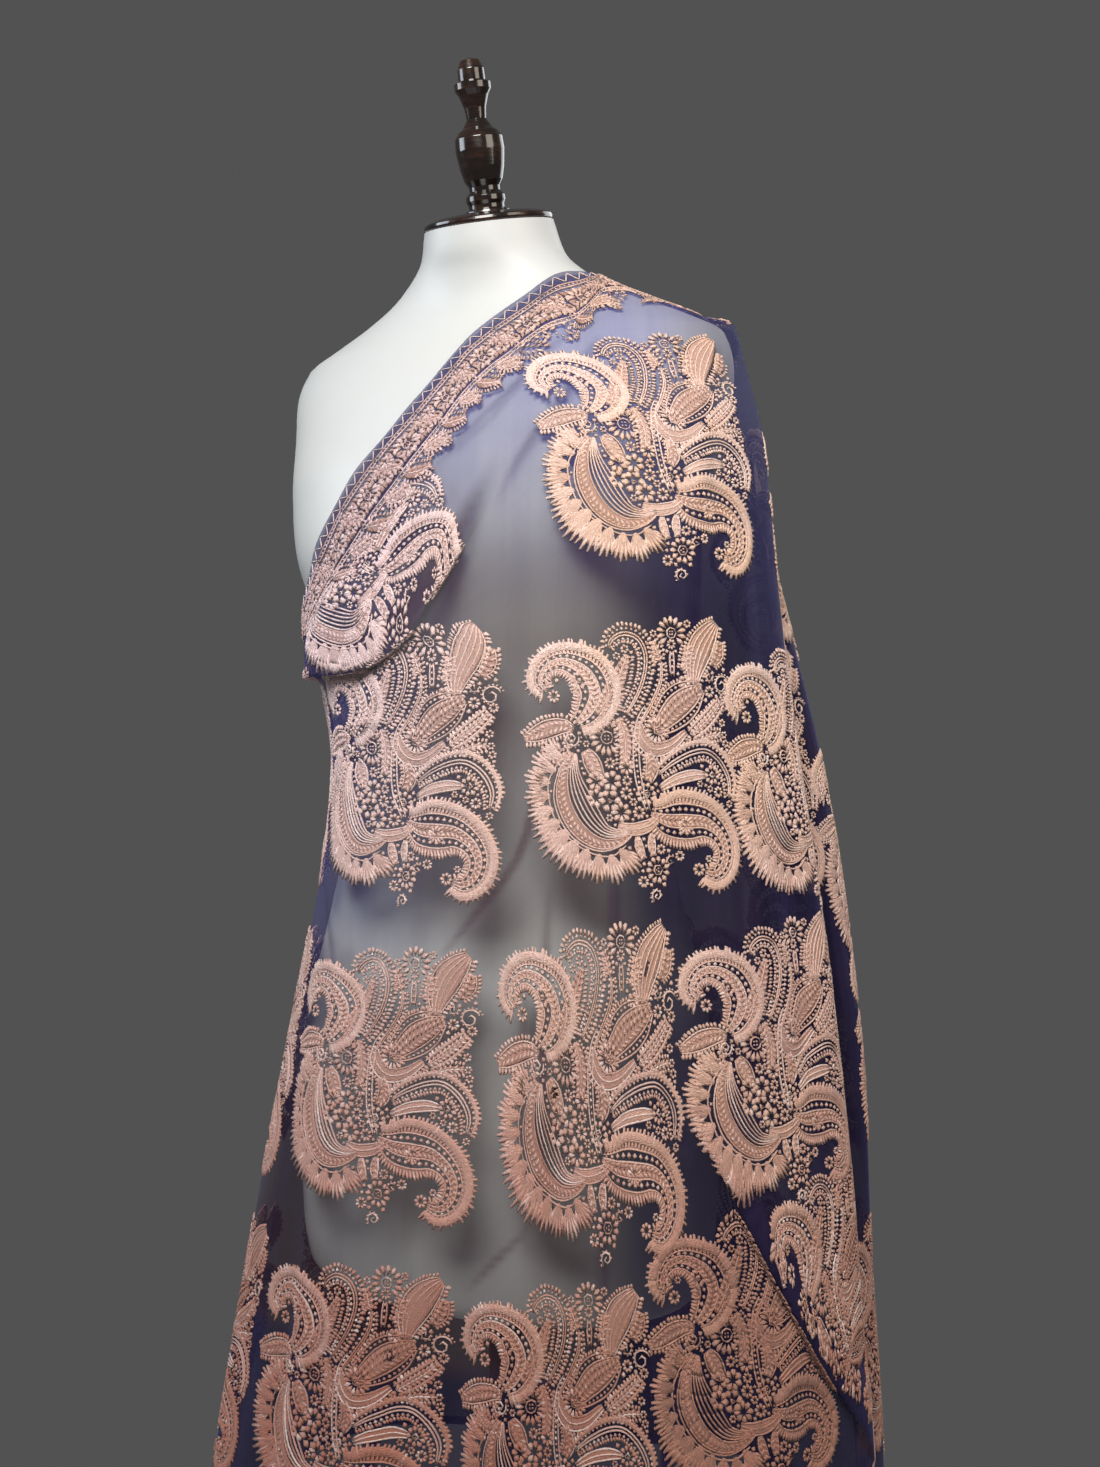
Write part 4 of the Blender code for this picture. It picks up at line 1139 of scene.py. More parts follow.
    def hook(self, work: Work, hook: Hook) -> None:
        """Works one tendril: a spiral whose radius grows evenly with its turn, with knots round its outer turn."""
        turn = np.linspace(0, 1, 40)
        reach = hook.radius * MM * (self.hook_start + (1 - self.hook_start) * turn)
        way = rays(np.radians(hook.start) + 2 * np.pi * hook.turns * turn)
        path = np.array([hook.across, hook.up]) * MM + way * reach[:, None]
        outer = path[len(path) // 2 :]
        thick, tone = self.hook_cord
        work.cord(path, thick * MM, self.rise * MM, tone)
        away, step, radius, tone = self.hook_knots
        work.knots(outer + (outer - path[:1]) * away, step * MM, radius * MM, self.rise * MM, tone)

    def clusters(self, work: Work) -> None:
        """Works the fan's outer ring: at even steps a round leaf on a foot, with teeth fanned beyond its tip."""
        line = trace(CLUSTER_LINE, 1.0) * MM
        run = run_length(line)
        want = (np.arange(CLUSTERS) + 0.5) * run[-1] / CLUSTERS
        foot, right = resampled(line, run, want), unit(resampled(right_of(line), run, want))
        more, peak, reach = self.swell
        swell = 1 + more * np.exp(-(((want / run[-1] - peak) / reach) ** 2))
        out_of, wide_of = np.array(self.body).T * MM
        for place, out, size in zip(foot, right, swell):
            path = place + out * (out_of * size)[:, None]
            rise = self.body_rise * self.rise * MM
            work.strip(path, wide_of * size, rise, self.ring_step * MM, Stitch.FLAT, self.body_tone)
        ahead = -clockwise(right)
        for aside, out, spread, long, wide in TULIP:
            angle = math.radians(spread)
            way = right * math.cos(angle) + ahead * math.sin(angle)
            at = foot + (right * out + ahead * aside) * MM * swell[:, None]
            work.leaves(at, way, long * MM * swell, np.full(CLUSTERS, wide * MM), self.rise * MM, self.teeth_tone)
        arc = line - right_of(line) * self.arc_inside * MM
        work.cord(arc, self.cord_wide * MM, self.rise * MM, self.cord_tone)

    def worked(self) -> Sewn:
        """The whole bouquet on the flat, its gaps filled with small flowers."""
        work = Work(most_rings=self.most_rings)
        for lobe in LOBES:
            self.lobe(work, lobe)
        self.clusters(work)
        for bloom in BLOOMS:
            self.bloom(work, bloom)
        for hook in HOOKS:
            self.hook(work, hook)
        self.fill(work, np.array(OUTLINE) * MM)
        return work.bound()

    def fill(self, work: Work, outline: np.ndarray) -> None:
        """Fills the gaps inside an outline: each time the roomiest place gets a flower or a knot as large as fits.

        Args:
            work: The needlework so far.
            outline: The outline's corners, (n, 2).
        """
        done = work.bound()
        corners = done.vertices[done.faces][:, :, :2]
        parts = self.parts
        weights = np.array([(i, j, parts - i - j) for i in range(parts + 1) for j in range(parts + 1 - i)]) / parts
        cell = self.cell * MM
        taken = np.einsum("wk,fkc->fwc", weights, corners).reshape(-1, 2)
        taken = np.unique(np.round(taken / cell).astype(int), axis=0)
        (left, bottom), (right, top) = outline.min(0), outline.max(0)
        spots = np.stack(np.meshgrid(np.arange(left, right, cell), np.arange(bottom, top, cell)), -1).reshape(-1, 2)
        spots = spots[inside_of(outline, spots)]
        room = nearest(spots, taken * cell)
        while room.max() > self.least_room * MM:
            best = int(room.argmax())
            radius = min(room[best] - self.fill_gap * MM, self.most_fill * MM)
            at = spots[best]
            if radius > self.flower_from * MM:
                petals = self.petals[bool(radius >= self.petals_from * MM)]
                self.bloom(work, Bloom(at[0] / MM, at[1] / MM, radius / MM, petals, 0.0, self.flower_turn * best))
            else:
                way = rays(np.array([self.knot_turn * best]))
                work.beads(at[None], way, np.array([radius]), self.rise * MM, 0.0)
            room = np.minimum(room, np.linalg.norm(spots - at, axis=1) - radius)


@dataclass(frozen=True)
class BorderBand:
    """The border's needlework on the flat: zigzag edging, knotted lines, a band of flowers and a toothed inner side.

    Measures across run along the edge, and measures up are minus the distance from it, all in mm. zigzag and
    line_cord are (width, rise, tone, spacing of the rings) of their cords, and line_knots are (step, radius, tone).
    beds are rows of leaves as (distance from the edge, lean).
    """

    edging: float = 9.6
    first_line: float = 12.6
    second_line: float = 42.0
    beside_line: float = 1.6
    zigzag: tuple[float, ...] = (1.1, 0.7, 0.36, 2.4)
    line_cord: tuple[float, ...] = (1.4, 1.02, 0.08, 5)
    line_knots: tuple[float, ...] = (3.4, 1.25, 0.04)
    bed_leaf: Leaf = Leaf(3.7, 6.6, 4.4, 0, 0.5, 0.96, -0.02)
    darker: float = 0.19
    pitch: float = 46.0
    zigzags: int = 4
    beds: Points = ((18.2, 58.0), (23.8, -58.0), (29.6, 58.0), (35.6, -58.0))
    teeth: Points = ((0, -44), (46, -44), (46, -54), (36, -60), (27, -56), (20, -60), (8, -55), (0, -52))
    bouquet: Bouquet = Bouquet(rise=1.2, least_room=1.6, most_fill=4.0)

    def tile(self) -> Sewn:
        """One repeat of the pattern."""
        work = Work(random=np.random.default_rng(5))
        across = np.linspace(0, self.pitch, 12 * self.zigzags + 1)
        wave = np.abs((across / self.pitch * self.zigzags * 2) % 2 - 1)

        def line(down: np.ndarray | float) -> np.ndarray:
            """A line along the edge, at a distance below it."""
            return np.stack((across, 0 * across - down), -1) * MM

        zigzag = self.edging / 2 + 1 + (wave - 0.5) * (self.edging - 2)
        lines = [down + side * self.beside_line for down in (self.first_line, self.second_line) for side in (-1, 1)]
        for path, (wide, high, tone, spacing) in ((zigzag, self.zigzag), *((down, self.line_cord) for down in lines)):
            work.cord(line(path), wide * MM, high * MM, tone, spacing * MM)
        step, radius, tone = self.line_knots
        for down in (self.first_line, self.second_line):
            work.knots(line(down), step * MM, radius * MM, self.bouquet.rise * MM, tone)
        for down, lean in self.beds:
            work.row(line(down), self.bed_leaf._replace(lean=lean))
        half, middle = self.pitch / 2, -(self.first_line + self.second_line) / 2
        for bloom in (
            Bloom(half, middle, 11.0, 12, 4.0),
            Bloom(half - 18, middle + 4.5, 6.0, 8, 0.0),
            Bloom(half + 18, middle - 4.5, 6.0, 8, 0.0),
        ):
            self.bouquet.bloom(work, bloom)
        for lobe in (
            Lobe(((0, middle + 1, 2), (5, middle - 6, 4), (9, middle - 9, 2)), LEAF, 2.4, 2.4),
            Lobe(((46, middle - 1, 2), (41, middle + 6, 4), (37, middle + 9, 2)), LEAF, 2.4, 2.4),
            Lobe(((5, -44, 3), (9, -50, 6), (15, -56, 4.5), (21, -60, 2)), LEAF, 4.0, 4.0, 0.02),
            Lobe(((26, -44, 2), (34, -49, 5), (41, -52, 5), (46, -51, 2)), OVAL, 4.4, 2.4, 0.03),
        ):
            self.bouquet.lobe(work, lobe)
        self.bouquet.hook(work, Hook(27, -54, 4.6, 60, -1.3))
        self.bouquet.bloom(work, Bloom(41, -60, 4.2, 8, 0.0))
        low, high, left, right = 1.9 - self.second_line, -15.8, 0.4, 45.6
        for outline in (((left, low), (right, low), (right, high), (left, high)), self.teeth):
            self.bouquet.fill(work, np.array(outline) * MM)
        sewn = work.bound()
        return replace(sewn, tones=sewn.tones - self.darker)

    def worked(self, tile: Sewn, start: float, end: float) -> Sewn:
        """The needlework from one distance along the whole edge to another, repeated at the pitch.

        Args:
            tile: One repeat.
            start: Where this stretch of the edge starts.
            end: Where it ends.

        Returns:
            The stitches on the flat, with whole strips only.
        """
        pitch = self.pitch * MM
        turns = range(int(start // pitch), int(end // pitch) + 1)
        joined = Sewn.joined([replace(tile, vertices=tile.vertices + np.array([k * pitch, 0, 0])) for k in turns])
        middle = np.bincount(joined.strips, joined.vertices[:, 0]) / np.bincount(joined.strips)
        return joined.kept(((middle >= start) & (middle < end))[joined.strips])


class Socket(Enum):
    """The kinds of socket that a shader group may have."""

    NUMBER = "NodeSocketFloat"
    VECTOR = "NodeSocketVector"


Colour = tuple[float, float, float]


class Shades:
    """A node tree being drawn up: adds nodes, and links values or sets them as constants."""

    def __init__(self, tree: bpy.types.NodeTree) -> None:
        """Starts on a tree."""
        self.tree = tree

    def node(self, kind: str, values: dict | None = None, **settings: object) -> bpy.types.Node:
        """Adds a node.

        Args:
            kind: Its type name without the ShaderNode prefix, or a whole type name.
            values: Socket names or numbers to a constant or to an output socket.
            **settings: The node's own properties.

        Returns:
            The new node.
        """
        made = self.tree.nodes.new(kind if kind.startswith("Node") else f"ShaderNode{kind}")
        for name, value in settings.items():
            setattr(made, name, value)
        self.feed(made, values or {})
        return made

    def feed(self, node: bpy.types.Node, values: dict) -> None:
        """Links output sockets to a node's inputs, or sets the inputs' own constants."""
        for key, value in values.items():
            socket = node.inputs[key]
            if isinstance(value, bpy.types.NodeSocket):
                self.tree.links.new(value, socket)
            else:
                socket.default_value = (*value, 1) if socket.type == "RGBA" and len(value) == 3 else value

    def sum(self, operation: str, a: object, b: object = 0.0, c: object = 0.0, clamp: bool = False) -> object:
        """The result of one operation of the Math node."""
        return self.node("Math", {0: a, 1: b, 2: c}, operation=operation, use_clamp=clamp).outputs[0]

    def times(self, a: object, b: object) -> object:
        """The product of two values."""
        return self.sum("MULTIPLY", a, b)

    def plus(self, a: object, b: object, clamp: bool = False) -> object:
        """The sum of two values."""
        return self.sum("ADD", a, b, clamp=clamp)

    def rest(self, share: object, clamp: bool = False) -> object:
        """What a share leaves of the whole: 1 - share."""
        return self.sum("SUBTRACT", 1.0, share, clamp=clamp)

    def ramp(self, value: object, low: float, high: float, out_low: float = 0.0, out_high: float = 1.0) -> object:
        """A value's range from low to high, mapped smoothly to another range."""
        settings = {"Value": value, "From Min": low, "From Max": high, "To Min": out_low, "To Max": out_high}
        return self.node("MapRange", settings, interpolation_type="SMOOTHSTEP").outputs[0]

    def mix(self, share: object, a: object, b: object) -> object:
        """Two colours mixed by a share."""
        return self.node("Mix", {0: share, 6: a, 7: b}, data_type="RGBA").outputs[2]

    def noise(self, at: object, scale: object, detail: float = 2.0, rough: float = 0.5) -> object:
        """Noise at a place."""
        return self.node("TexNoise", {"Vector": at, "Scale": scale, "Detail": detail, "Roughness": rough}).outputs[0]

    def stretched(self, at: object, scale: tuple[float, float, float], detail: float = 2.0) -> object:
        """Noise at a place with each of its axes scaled."""
        return self.noise(self.node("Mapping", {"Vector": at, "Scale": scale}).outputs[0], 1.0, detail)

    def split(self, at: object) -> list:
        """The three coordinates of a place."""
        return list(self.node("SeparateXYZ", {0: at}).outputs)


@dataclass(frozen=True)
class Groups:
    """The effects that several finishes share, each a shader group built once."""

    stitches: bpy.types.NodeTree
    net: bpy.types.NodeTree
    mottle: bpy.types.NodeTree

    @staticmethod
    def blank(
        name: str, inputs: dict[str, float | None], outputs: tuple[str, ...]
    ) -> tuple[Shades, dict[str, bpy.types.NodeSocket], bpy.types.Node]:
        """An empty group with named inputs and outputs.

        Args:
            name: The group's name.
            inputs: Names of the inputs to their starting numbers, or to None for a place.
            outputs: Names of the outputs, all numbers.

        Returns:
            The tree to draw in, its inputs by name, and its output node.
        """
        tree = bpy.data.node_groups.new(name, "ShaderNodeTree")
        for title, value in inputs.items():
            kind = Socket.VECTOR if value is None else Socket.NUMBER
            made = tree.interface.new_socket(name=title, in_out="INPUT", socket_type=kind.value)
            if value is not None:
                made.default_value = value
        for title in outputs:
            tree.interface.new_socket(name=title, in_out="OUTPUT", socket_type=Socket.NUMBER.value)
        shades = Shades(tree)
        given = shades.node("NodeGroupInput").outputs
        return shades, {title: given[title] for title in inputs}, shades.node("NodeGroupOutput")

    @classmethod
    def made(cls) -> "Groups":
        """Builds the three groups."""
        return cls(cls.stitch_group(), cls.net_group(), cls.mottle_group())

    @classmethod
    def stitch_group(cls) -> bpy.types.NodeTree:
        """Silk threads laid side by side: a wave across the stitch, bent by noise, over small uneven lumps."""
        inputs = {"Thread Place": None, "Place": None, "Threads per Metre": 800.0, "Lump": 0.6}
        shades, given, out = cls.blank("laid_threads", inputs, ("Height", "Hollow", "Drift"))
        lumps = shades.noise(given["Place"], 420)
        across, along, _ = shades.split(given["Thread Place"])
        phase = shades.times(shades.sum("MULTIPLY_ADD", along, 0.30, across), given["Threads per Metre"])
        bent = shades.plus(phase, shades.times(lumps, 3.0))
        wave = shades.sum("ABSOLUTE", shades.sum("SINE", shades.times(bent, math.pi)))
        height = shades.plus(wave, shades.times(shades.ramp(lumps, 0.3, 0.7), given["Lump"]))
        drift = shades.ramp(shades.noise(given["Place"], 13, 3), 0.32, 0.68)
        # The second output is painted shade: darker where the thread wave is low, between the threads.
        shades.feed(out, {"Height": height, "Hollow": shades.ramp(height, 0.9, 0.15), "Drift": drift})
        return shades.tree

    @classmethod
    def net_group(cls) -> bpy.types.NodeTree:
        """Fine net: crossing waves of its yarns, long slubs down the cloth, and broad streaks of denser yarn."""
        inputs = {"Cloth Place": None, "Yarns per Metre": 900.0}
        shades, given, out = cls.blank("fine_net", inputs, ("Height", "Streak"))
        at = given["Cloth Place"]
        turns = [shades.times(shades.times(way, given["Yarns per Metre"]), 2 * math.pi) for way in shades.split(at)[:2]]
        weave = shades.times(shades.plus(*(shades.sum("SINE", turn) for turn in turns)), 0.25)
        slub, cross, broad = (
            shades.stretched(at, scale, detail)
            for scale, detail in (((260, 9, 1), 2), ((10, 240, 1), 2), ((46, 2.4, 1), 3))
        )
        mixed = shades.plus(shades.times(broad, 0.6), shades.times(shades.plus(slub, cross), 0.2))
        height = shades.plus(shades.plus(weave, slub), cross)
        shades.feed(out, {"Height": height, "Streak": shades.ramp(mixed, 0.36, 0.64)})
        return shades.tree

    @classmethod
    def mottle_group(cls) -> bpy.types.NodeTree:
        """Handling marks and unevenness of a finished surface: two sizes of noise as a mask and as a height."""
        shades, given, out = cls.blank("handled", {"Place": None, "Scale": 12.0}, ("Mask", "Height"))
        broad = shades.noise(given["Place"], given["Scale"], 4.0, 0.6)
        fine = shades.noise(given["Place"], 900)
        height = shades.plus(shades.times(fine, 0.3), broad)
        shades.feed(out, {"Mask": shades.ramp(broad, 0.35, 0.7), "Height": height})
        return shades.tree


@dataclass(frozen=True)
class Finish:
    """A finish: its name, and how to start and end its material."""

    name: str
    groups: Groups

    def begin(self) -> tuple[bpy.types.Material, Shades, bpy.types.NodeSocket]:
        """A new material, its tree, and the place on the object."""
        made = bpy.data.materials.new(self.name)
        made.use_nodes = True
        shades = Shades(made.node_tree)
        return made, shades, shades.node("TexCoord").outputs["Object"]

    def end(self, shades: Shades, values: dict, height: object, distance: float, strength: float = 1.0) -> None:
        """Feeds the Principled shader.

        Args:
            shades: The material's tree.
            values: The shader's inputs to their values.
            height: A height, which goes through a Bump node to the shader's normal.
            distance: How deep the height is.
            strength: How strong the bump is.
        """
        bump = shades.node("Bump", {"Height": height, "Distance": distance, "Strength": strength})
        shades.feed(shades.tree.nodes["Principled BSDF"], {**values, "Normal": bump.outputs[0]})


@dataclass(frozen=True)
class SilkThread(Finish):
    """Matt silk thread, dusty pink, with painted light and shade by place."""

    pink: Colour = (0.930, 0.690, 0.640)
    # Painted light and shade: the next three colours stand for warm light, shade towards the bottom, and cool light.
    tan: Colour = (0.860, 0.560, 0.400)
    bronze: Colour = (0.440, 0.150, 0.095)
    mauve: Colour = (0.760, 0.580, 0.670)
    pale: Colour = (0.950, 0.800, 0.760)
    dark: Colour = (0.330, 0.150, 0.110)
    # Painted shade between the threads.
    hollow: Colour = (0.220, 0.090, 0.075)
    roughness: float = 0.62
    sheen: float = 0.25

    def material(self) -> bpy.types.Material:
        """Pink, tinted by painted light and shade: tan across the cloth, bronze down it, dark between threads."""
        made, shades, place = self.begin()
        thread = shades.node("UVMap", uv_map="thread").outputs[0]
        values = {"Thread Place": thread, "Place": place}
        stitches = shades.node("Group", values, node_tree=self.groups.stitches).outputs
        x, _, z = shades.split(place)
        # Painted shade: the thread turns bronze towards the bottom of the cloth.
        low = shades.ramp(z, 1.28, 0.48)
        # Painted cool light: mauve on the upper -X side.
        cool = shades.times(shades.ramp(x, 0.10, -0.08), shades.ramp(z, 0.90, 1.25))
        # Painted warm light: tan towards +X, less low down, made uneven by the drift noise.
        side = shades.times(shades.ramp(x, -0.04, 0.20), shades.rest(shades.times(low, 0.8)))
        tone = shades.node("Attribute", attribute_name="tone").outputs["Fac"]
        colour = shades.mix(low, self.pink, self.bronze)
        for share, other in (
            (shades.times(side, shades.ramp(stitches["Drift"], 0, 1, 0.25, 0.85)), self.tan),
            (shades.times(cool, 0.6), self.mauve),
            # Tones below 0 darken the thread: its own tones, and the painted shade of the beds and of the bouquet under
            # the lap.
            (shades.ramp(tone, 0.0, 0.35), self.pale),
            (shades.ramp(tone, 0.0, -0.45), self.dark),
            # Painted shade in the hollows between threads.
            (shades.times(stitches["Hollow"], 0.34), self.hollow),
        ):
            colour = shades.mix(share, colour, other)
        values = {"Base Color": colour, "Roughness": self.roughness, "Sheen Weight": self.sheen}
        self.end(shades, values, stitches["Height"], 0.0004)
        return made


@dataclass(frozen=True)
class SheerNet(Finish):
    """Sheer navy net: see-through, with a violet-blue sheen, denser where it is doubled, and painted light and shade.
    """

    navy: Colour = (0.008, 0.006, 0.030)
    violet: Colour = (0.022, 0.015, 0.048)
    # Painted light: a cool blue, then a warm brownish one.
    lit: Colour = (0.110, 0.115, 0.400)
    brown: Colour = (0.075, 0.036, 0.048)
    sheen: Colour = (0.30, 0.32, 1.0)
    thin: float = 0.370
    dense: float = 0.76
    # Alpha added as painted shade at the sides and below the form.
    folded: float = 0.42

    def material(self) -> bpy.types.Material:
        """Alpha runs from thin to dense with the plies attribute and a little with the streaks."""
        # The colour and the alpha below also carry painted light and shade by place.
        made, shades, place = self.begin()
        cloth = shades.node("UVMap", uv_map="cloth").outputs[0]
        net = shades.node("Group", {"Cloth Place": cloth}, node_tree=self.groups.net).outputs
        # This attribute holds the doubled cloth and the painted shade along the creases.
        plies = shades.node("Attribute", attribute_name="plies").outputs["Fac"]
        x, _, z = shades.split(place)
        # Painted cool blue light at the top and on the upper -X side, less at the sides and where the net is doubled.
        high = shades.ramp(z, 1.12, 1.36)
        # Painted shade: the net is made denser at the sides and below the form, not at the top.
        aside = shades.ramp(shades.sum("ABSOLUTE", x), 0.150, 0.195)
        painted_side_shade = shades.times(shades.sum("MAXIMUM", aside, shades.ramp(z, 0.635, 0.605)), shades.rest(high))
        left = shades.times(shades.ramp(x, 0.10, -0.10), shades.ramp(z, 0.70, 1.0))
        painted_cool_light_share = shades.sum("MAXIMUM", shades.times(left, 0.6), high)
        # Painted warm brownish light over the front, away from the painted cool light.
        front = shades.times(shades.ramp(x, 0.20, 0.12), shades.rest(painted_side_shade))
        painted_warm_light_share = shades.times(shades.times(front, shades.rest(painted_cool_light_share, True)), 0.9)
        colour = shades.mix(painted_warm_light_share, shades.mix(net["Streak"], self.navy, self.violet), self.brown)
        painted_cool_light_share = shades.times(painted_cool_light_share, shades.ramp(plies, 0.0, 0.8, 1.0, 0.25))
        painted_cool_light_share = shades.times(painted_cool_light_share, shades.rest(shades.times(aside, 0.7)))
        # Painted light: the net is made thinner below the waist, so the form behind shows brighter.
        painted_lower_light = shades.ramp(z, 1.06, 0.88, 0.0, 0.11)
        alpha = shades.sum("SUBTRACT", shades.ramp(plies, 0.0, 1.0, self.thin, self.dense), painted_lower_light)
        # The streaks thicken the net; the painted side shade adds to it.
        streaks_and_side_shade = shades.plus(shades.times(net["Streak"], 0.06), shades.times(painted_side_shade, self.folded))
        values = {
            "Base Color": shades.mix(painted_cool_light_share, colour, self.lit),
            "Alpha": shades.plus(alpha, streaks_and_side_shade, True),
            "Roughness": 0.55,
            "Specular IOR Level": 0.12,
            "Sheen Weight": 0.22,
            "Sheen Roughness": 0.35,
            "Sheen Tint": self.sheen,
        }
        self.end(shades, values, net["Height"], 0.0002)
        return made


@dataclass(frozen=True)
class FormSkin(Finish):
    """The form's smooth off-white skin, with faint handling marks and a slight unevenness of its gloss.

    The other hard finishes are made in the same way. share is how strongly the marks show, rough the roughness of
    clean and of marked places, relief the bump's distance and strength, and coat a clear coat's weight and roughness.
    Where grain is given, the noise that it stretches takes the place of the share and of the relief's height.
    """

    clean: Colour = (0.575, 0.592, 0.592)
    marked: Colour = (0.53, 0.51, 0.46)
    share: float = 0.3
    rough: tuple[float, float] = (0.42, 0.55)
    scale: float = 9.0
    relief: tuple[float, float] = (0.0008, 0.4)
    metallic: float = 0.0
    coat: tuple[float, float] = (0.0, 0.03)
    grain: tuple[float, float, float] | None = None

    def material(self) -> bpy.types.Material:
        """Marks of one colour on another, rougher or smoother than what is round them."""
        made, shades, place = self.begin()
        mottle = shades.node("Group", {"Place": place, "Scale": self.scale}, node_tree=self.groups.mottle).outputs
        mask, height, share = mottle["Mask"], mottle["Height"], self.share
        if self.grain:
            height = shades.stretched(place, self.grain, 3)
            share = shades.ramp(height, 0.35, 0.65)
        values = {
            "Base Color": shades.mix(shades.times(mask, share), self.clean, self.marked),
            "Roughness": shades.ramp(mask, 0, 1, *self.rough),
            "Metallic": self.metallic,
            "Coat Weight": self.coat[0],
            "Coat Roughness": self.coat[1],
        }
        self.end(shades, values, height, *self.relief)
        return made


@dataclass(frozen=True)
class Lacquer(FormSkin):
    """Black lacquer over dark turned wood: thin grain lines, browner in rubbed patches, under a clear coat."""

    clean: Colour = (0.010, 0.007, 0.006)
    marked: Colour = (0.050, 0.018, 0.010)
    rough: tuple[float, float] = (0.16, 0.30)
    scale: float = 34.0
    relief: tuple[float, float] = (0.0001, 0.5)
    coat: tuple[float, float] = (0.8, 0.08)
    grain: tuple[float, float, float] | None = (60, 60, 700)


@dataclass(frozen=True)
class Iron(FormSkin):
    """Dark powder-coated iron: a fine orange peel, and a little dust in the hollows of the noise."""

    clean: Colour = (0.020, 0.020, 0.022)
    marked: Colour = (0.075, 0.072, 0.070)
    share: float = 0.5
    rough: tuple[float, float] = (0.38, 0.58)
    scale: float = 20.0
    relief: tuple[float, float] = (0.0003, 0.6)
    metallic: float = 0.4


@dataclass(frozen=True)
class Finishes:
    """Every finish of the object, as materials."""

    thread: bpy.types.Material
    net: bpy.types.Material
    skin: bpy.types.Material
    lacquer: bpy.types.Material
    iron: bpy.types.Material

    @classmethod
    def made(cls) -> "Finishes":
        """Builds the groups, then the five materials."""
        groups = Groups.made()
        kinds = {
            "silk_thread": SilkThread,
            "sheer_net": SheerNet,
            "form_skin": FormSkin,
            "black_lacquer": Lacquer,
            "powder_coated_iron": Iron,
        }
        return cls(*(kind(name, groups).material() for name, kind in kinds.items()))


def new_piece(
    name: str, vertices: np.ndarray, faces: np.ndarray, finish: bpy.types.Material
) -> bpy.types.Object:
    """Adds a smooth mesh to the scene as a piece that rides on the object's one body.

    Args:
        name: The piece's name.
        vertices: Points, (..., 3).
        faces: Triangles or quads, (m, 3 or 4).
        finish: Its material.

    Returns:
        The new object.
    """
    mesh = bpy.data.meshes.new(name)
    faces, vertices = np.asarray(faces, dtype=np.int32), np.asarray(vertices, dtype=np.float32)
    mesh.vertices.add(vertices.size // 3)
    mesh.vertices.foreach_set("co", vertices.ravel())
    mesh.loops.add(faces.size)
    mesh.loops.foreach_set("vertex_index", faces.ravel())
    mesh.polygons.add(len(faces))
    mesh.polygons.foreach_set("loop_start", np.arange(len(faces), dtype=np.int32) * faces.shape[1])
    mesh.update(calc_edges=True)
    mesh.validate()
    mesh.shade_smooth()
    mesh.materials.append(finish)
    thing = bpy.data.objects.new(name, mesh)
    bpy.context.scene.collection.objects.link(thing)
    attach(thing, ROOT)
    return thing


def set_uv(thing: bpy.types.Object, name: str, at: np.ndarray) -> None:
    """Gives a piece a UV map from one pair of measures for each of its points."""
    mesh = thing.data
    layer = mesh.uv_layers.new(name=name)
    corner = np.empty(len(mesh.loops), dtype=np.int32)
    mesh.loops.foreach_get("vertex_index", corner)
    layer.uv.foreach_set("vector", np.asarray(at, dtype=np.float32)[corner].ravel())


def set_attribute(thing: bpy.types.Object, name: str, values: np.ndarray) -> None:
    """Gives a piece a number for each of its points, under a name that its material reads."""
    made = thing.data.attributes.new(name, "FLOAT", "POINT")
    made.data.foreach_set("value", np.asarray(values, dtype=np.float32).ravel())


def grid_quads(high: int, wide: int, closed: bool = False) -> np.ndarray:
    """Quads over a grid of points, wound so that rows down and columns to the right face the viewer."""
    r, c = np.meshgrid(np.arange(high - 1), np.arange(wide if closed else wide - 1), indexing="ij")
    n = (c + 1) % wide
    return np.stack((r * wide + c, (r + 1) * wide + c, (r + 1) * wide + n, r * wide + n), -1).reshape(-1, 4)


def close_holes(thing: bpy.types.Object, sharp: float = math.radians(38)) -> None:
    """Closes the tiny rings left at a piece's poles, turns its faces outwards and keeps its sharp edges sharp."""
    bm = bmesh.new()
    bm.from_mesh(thing.data)
    bmesh.ops.holes_fill(bm, edges=[edge for edge in bm.edges if edge.is_boundary], sides=0)
    bmesh.ops.recalc_face_normals(bm, faces=bm.faces[:])
    bm.to_mesh(thing.data)
    bm.free()
    thing.data.shade_smooth()
    thing.data.set_sharp_from_angle(angle=sharp)


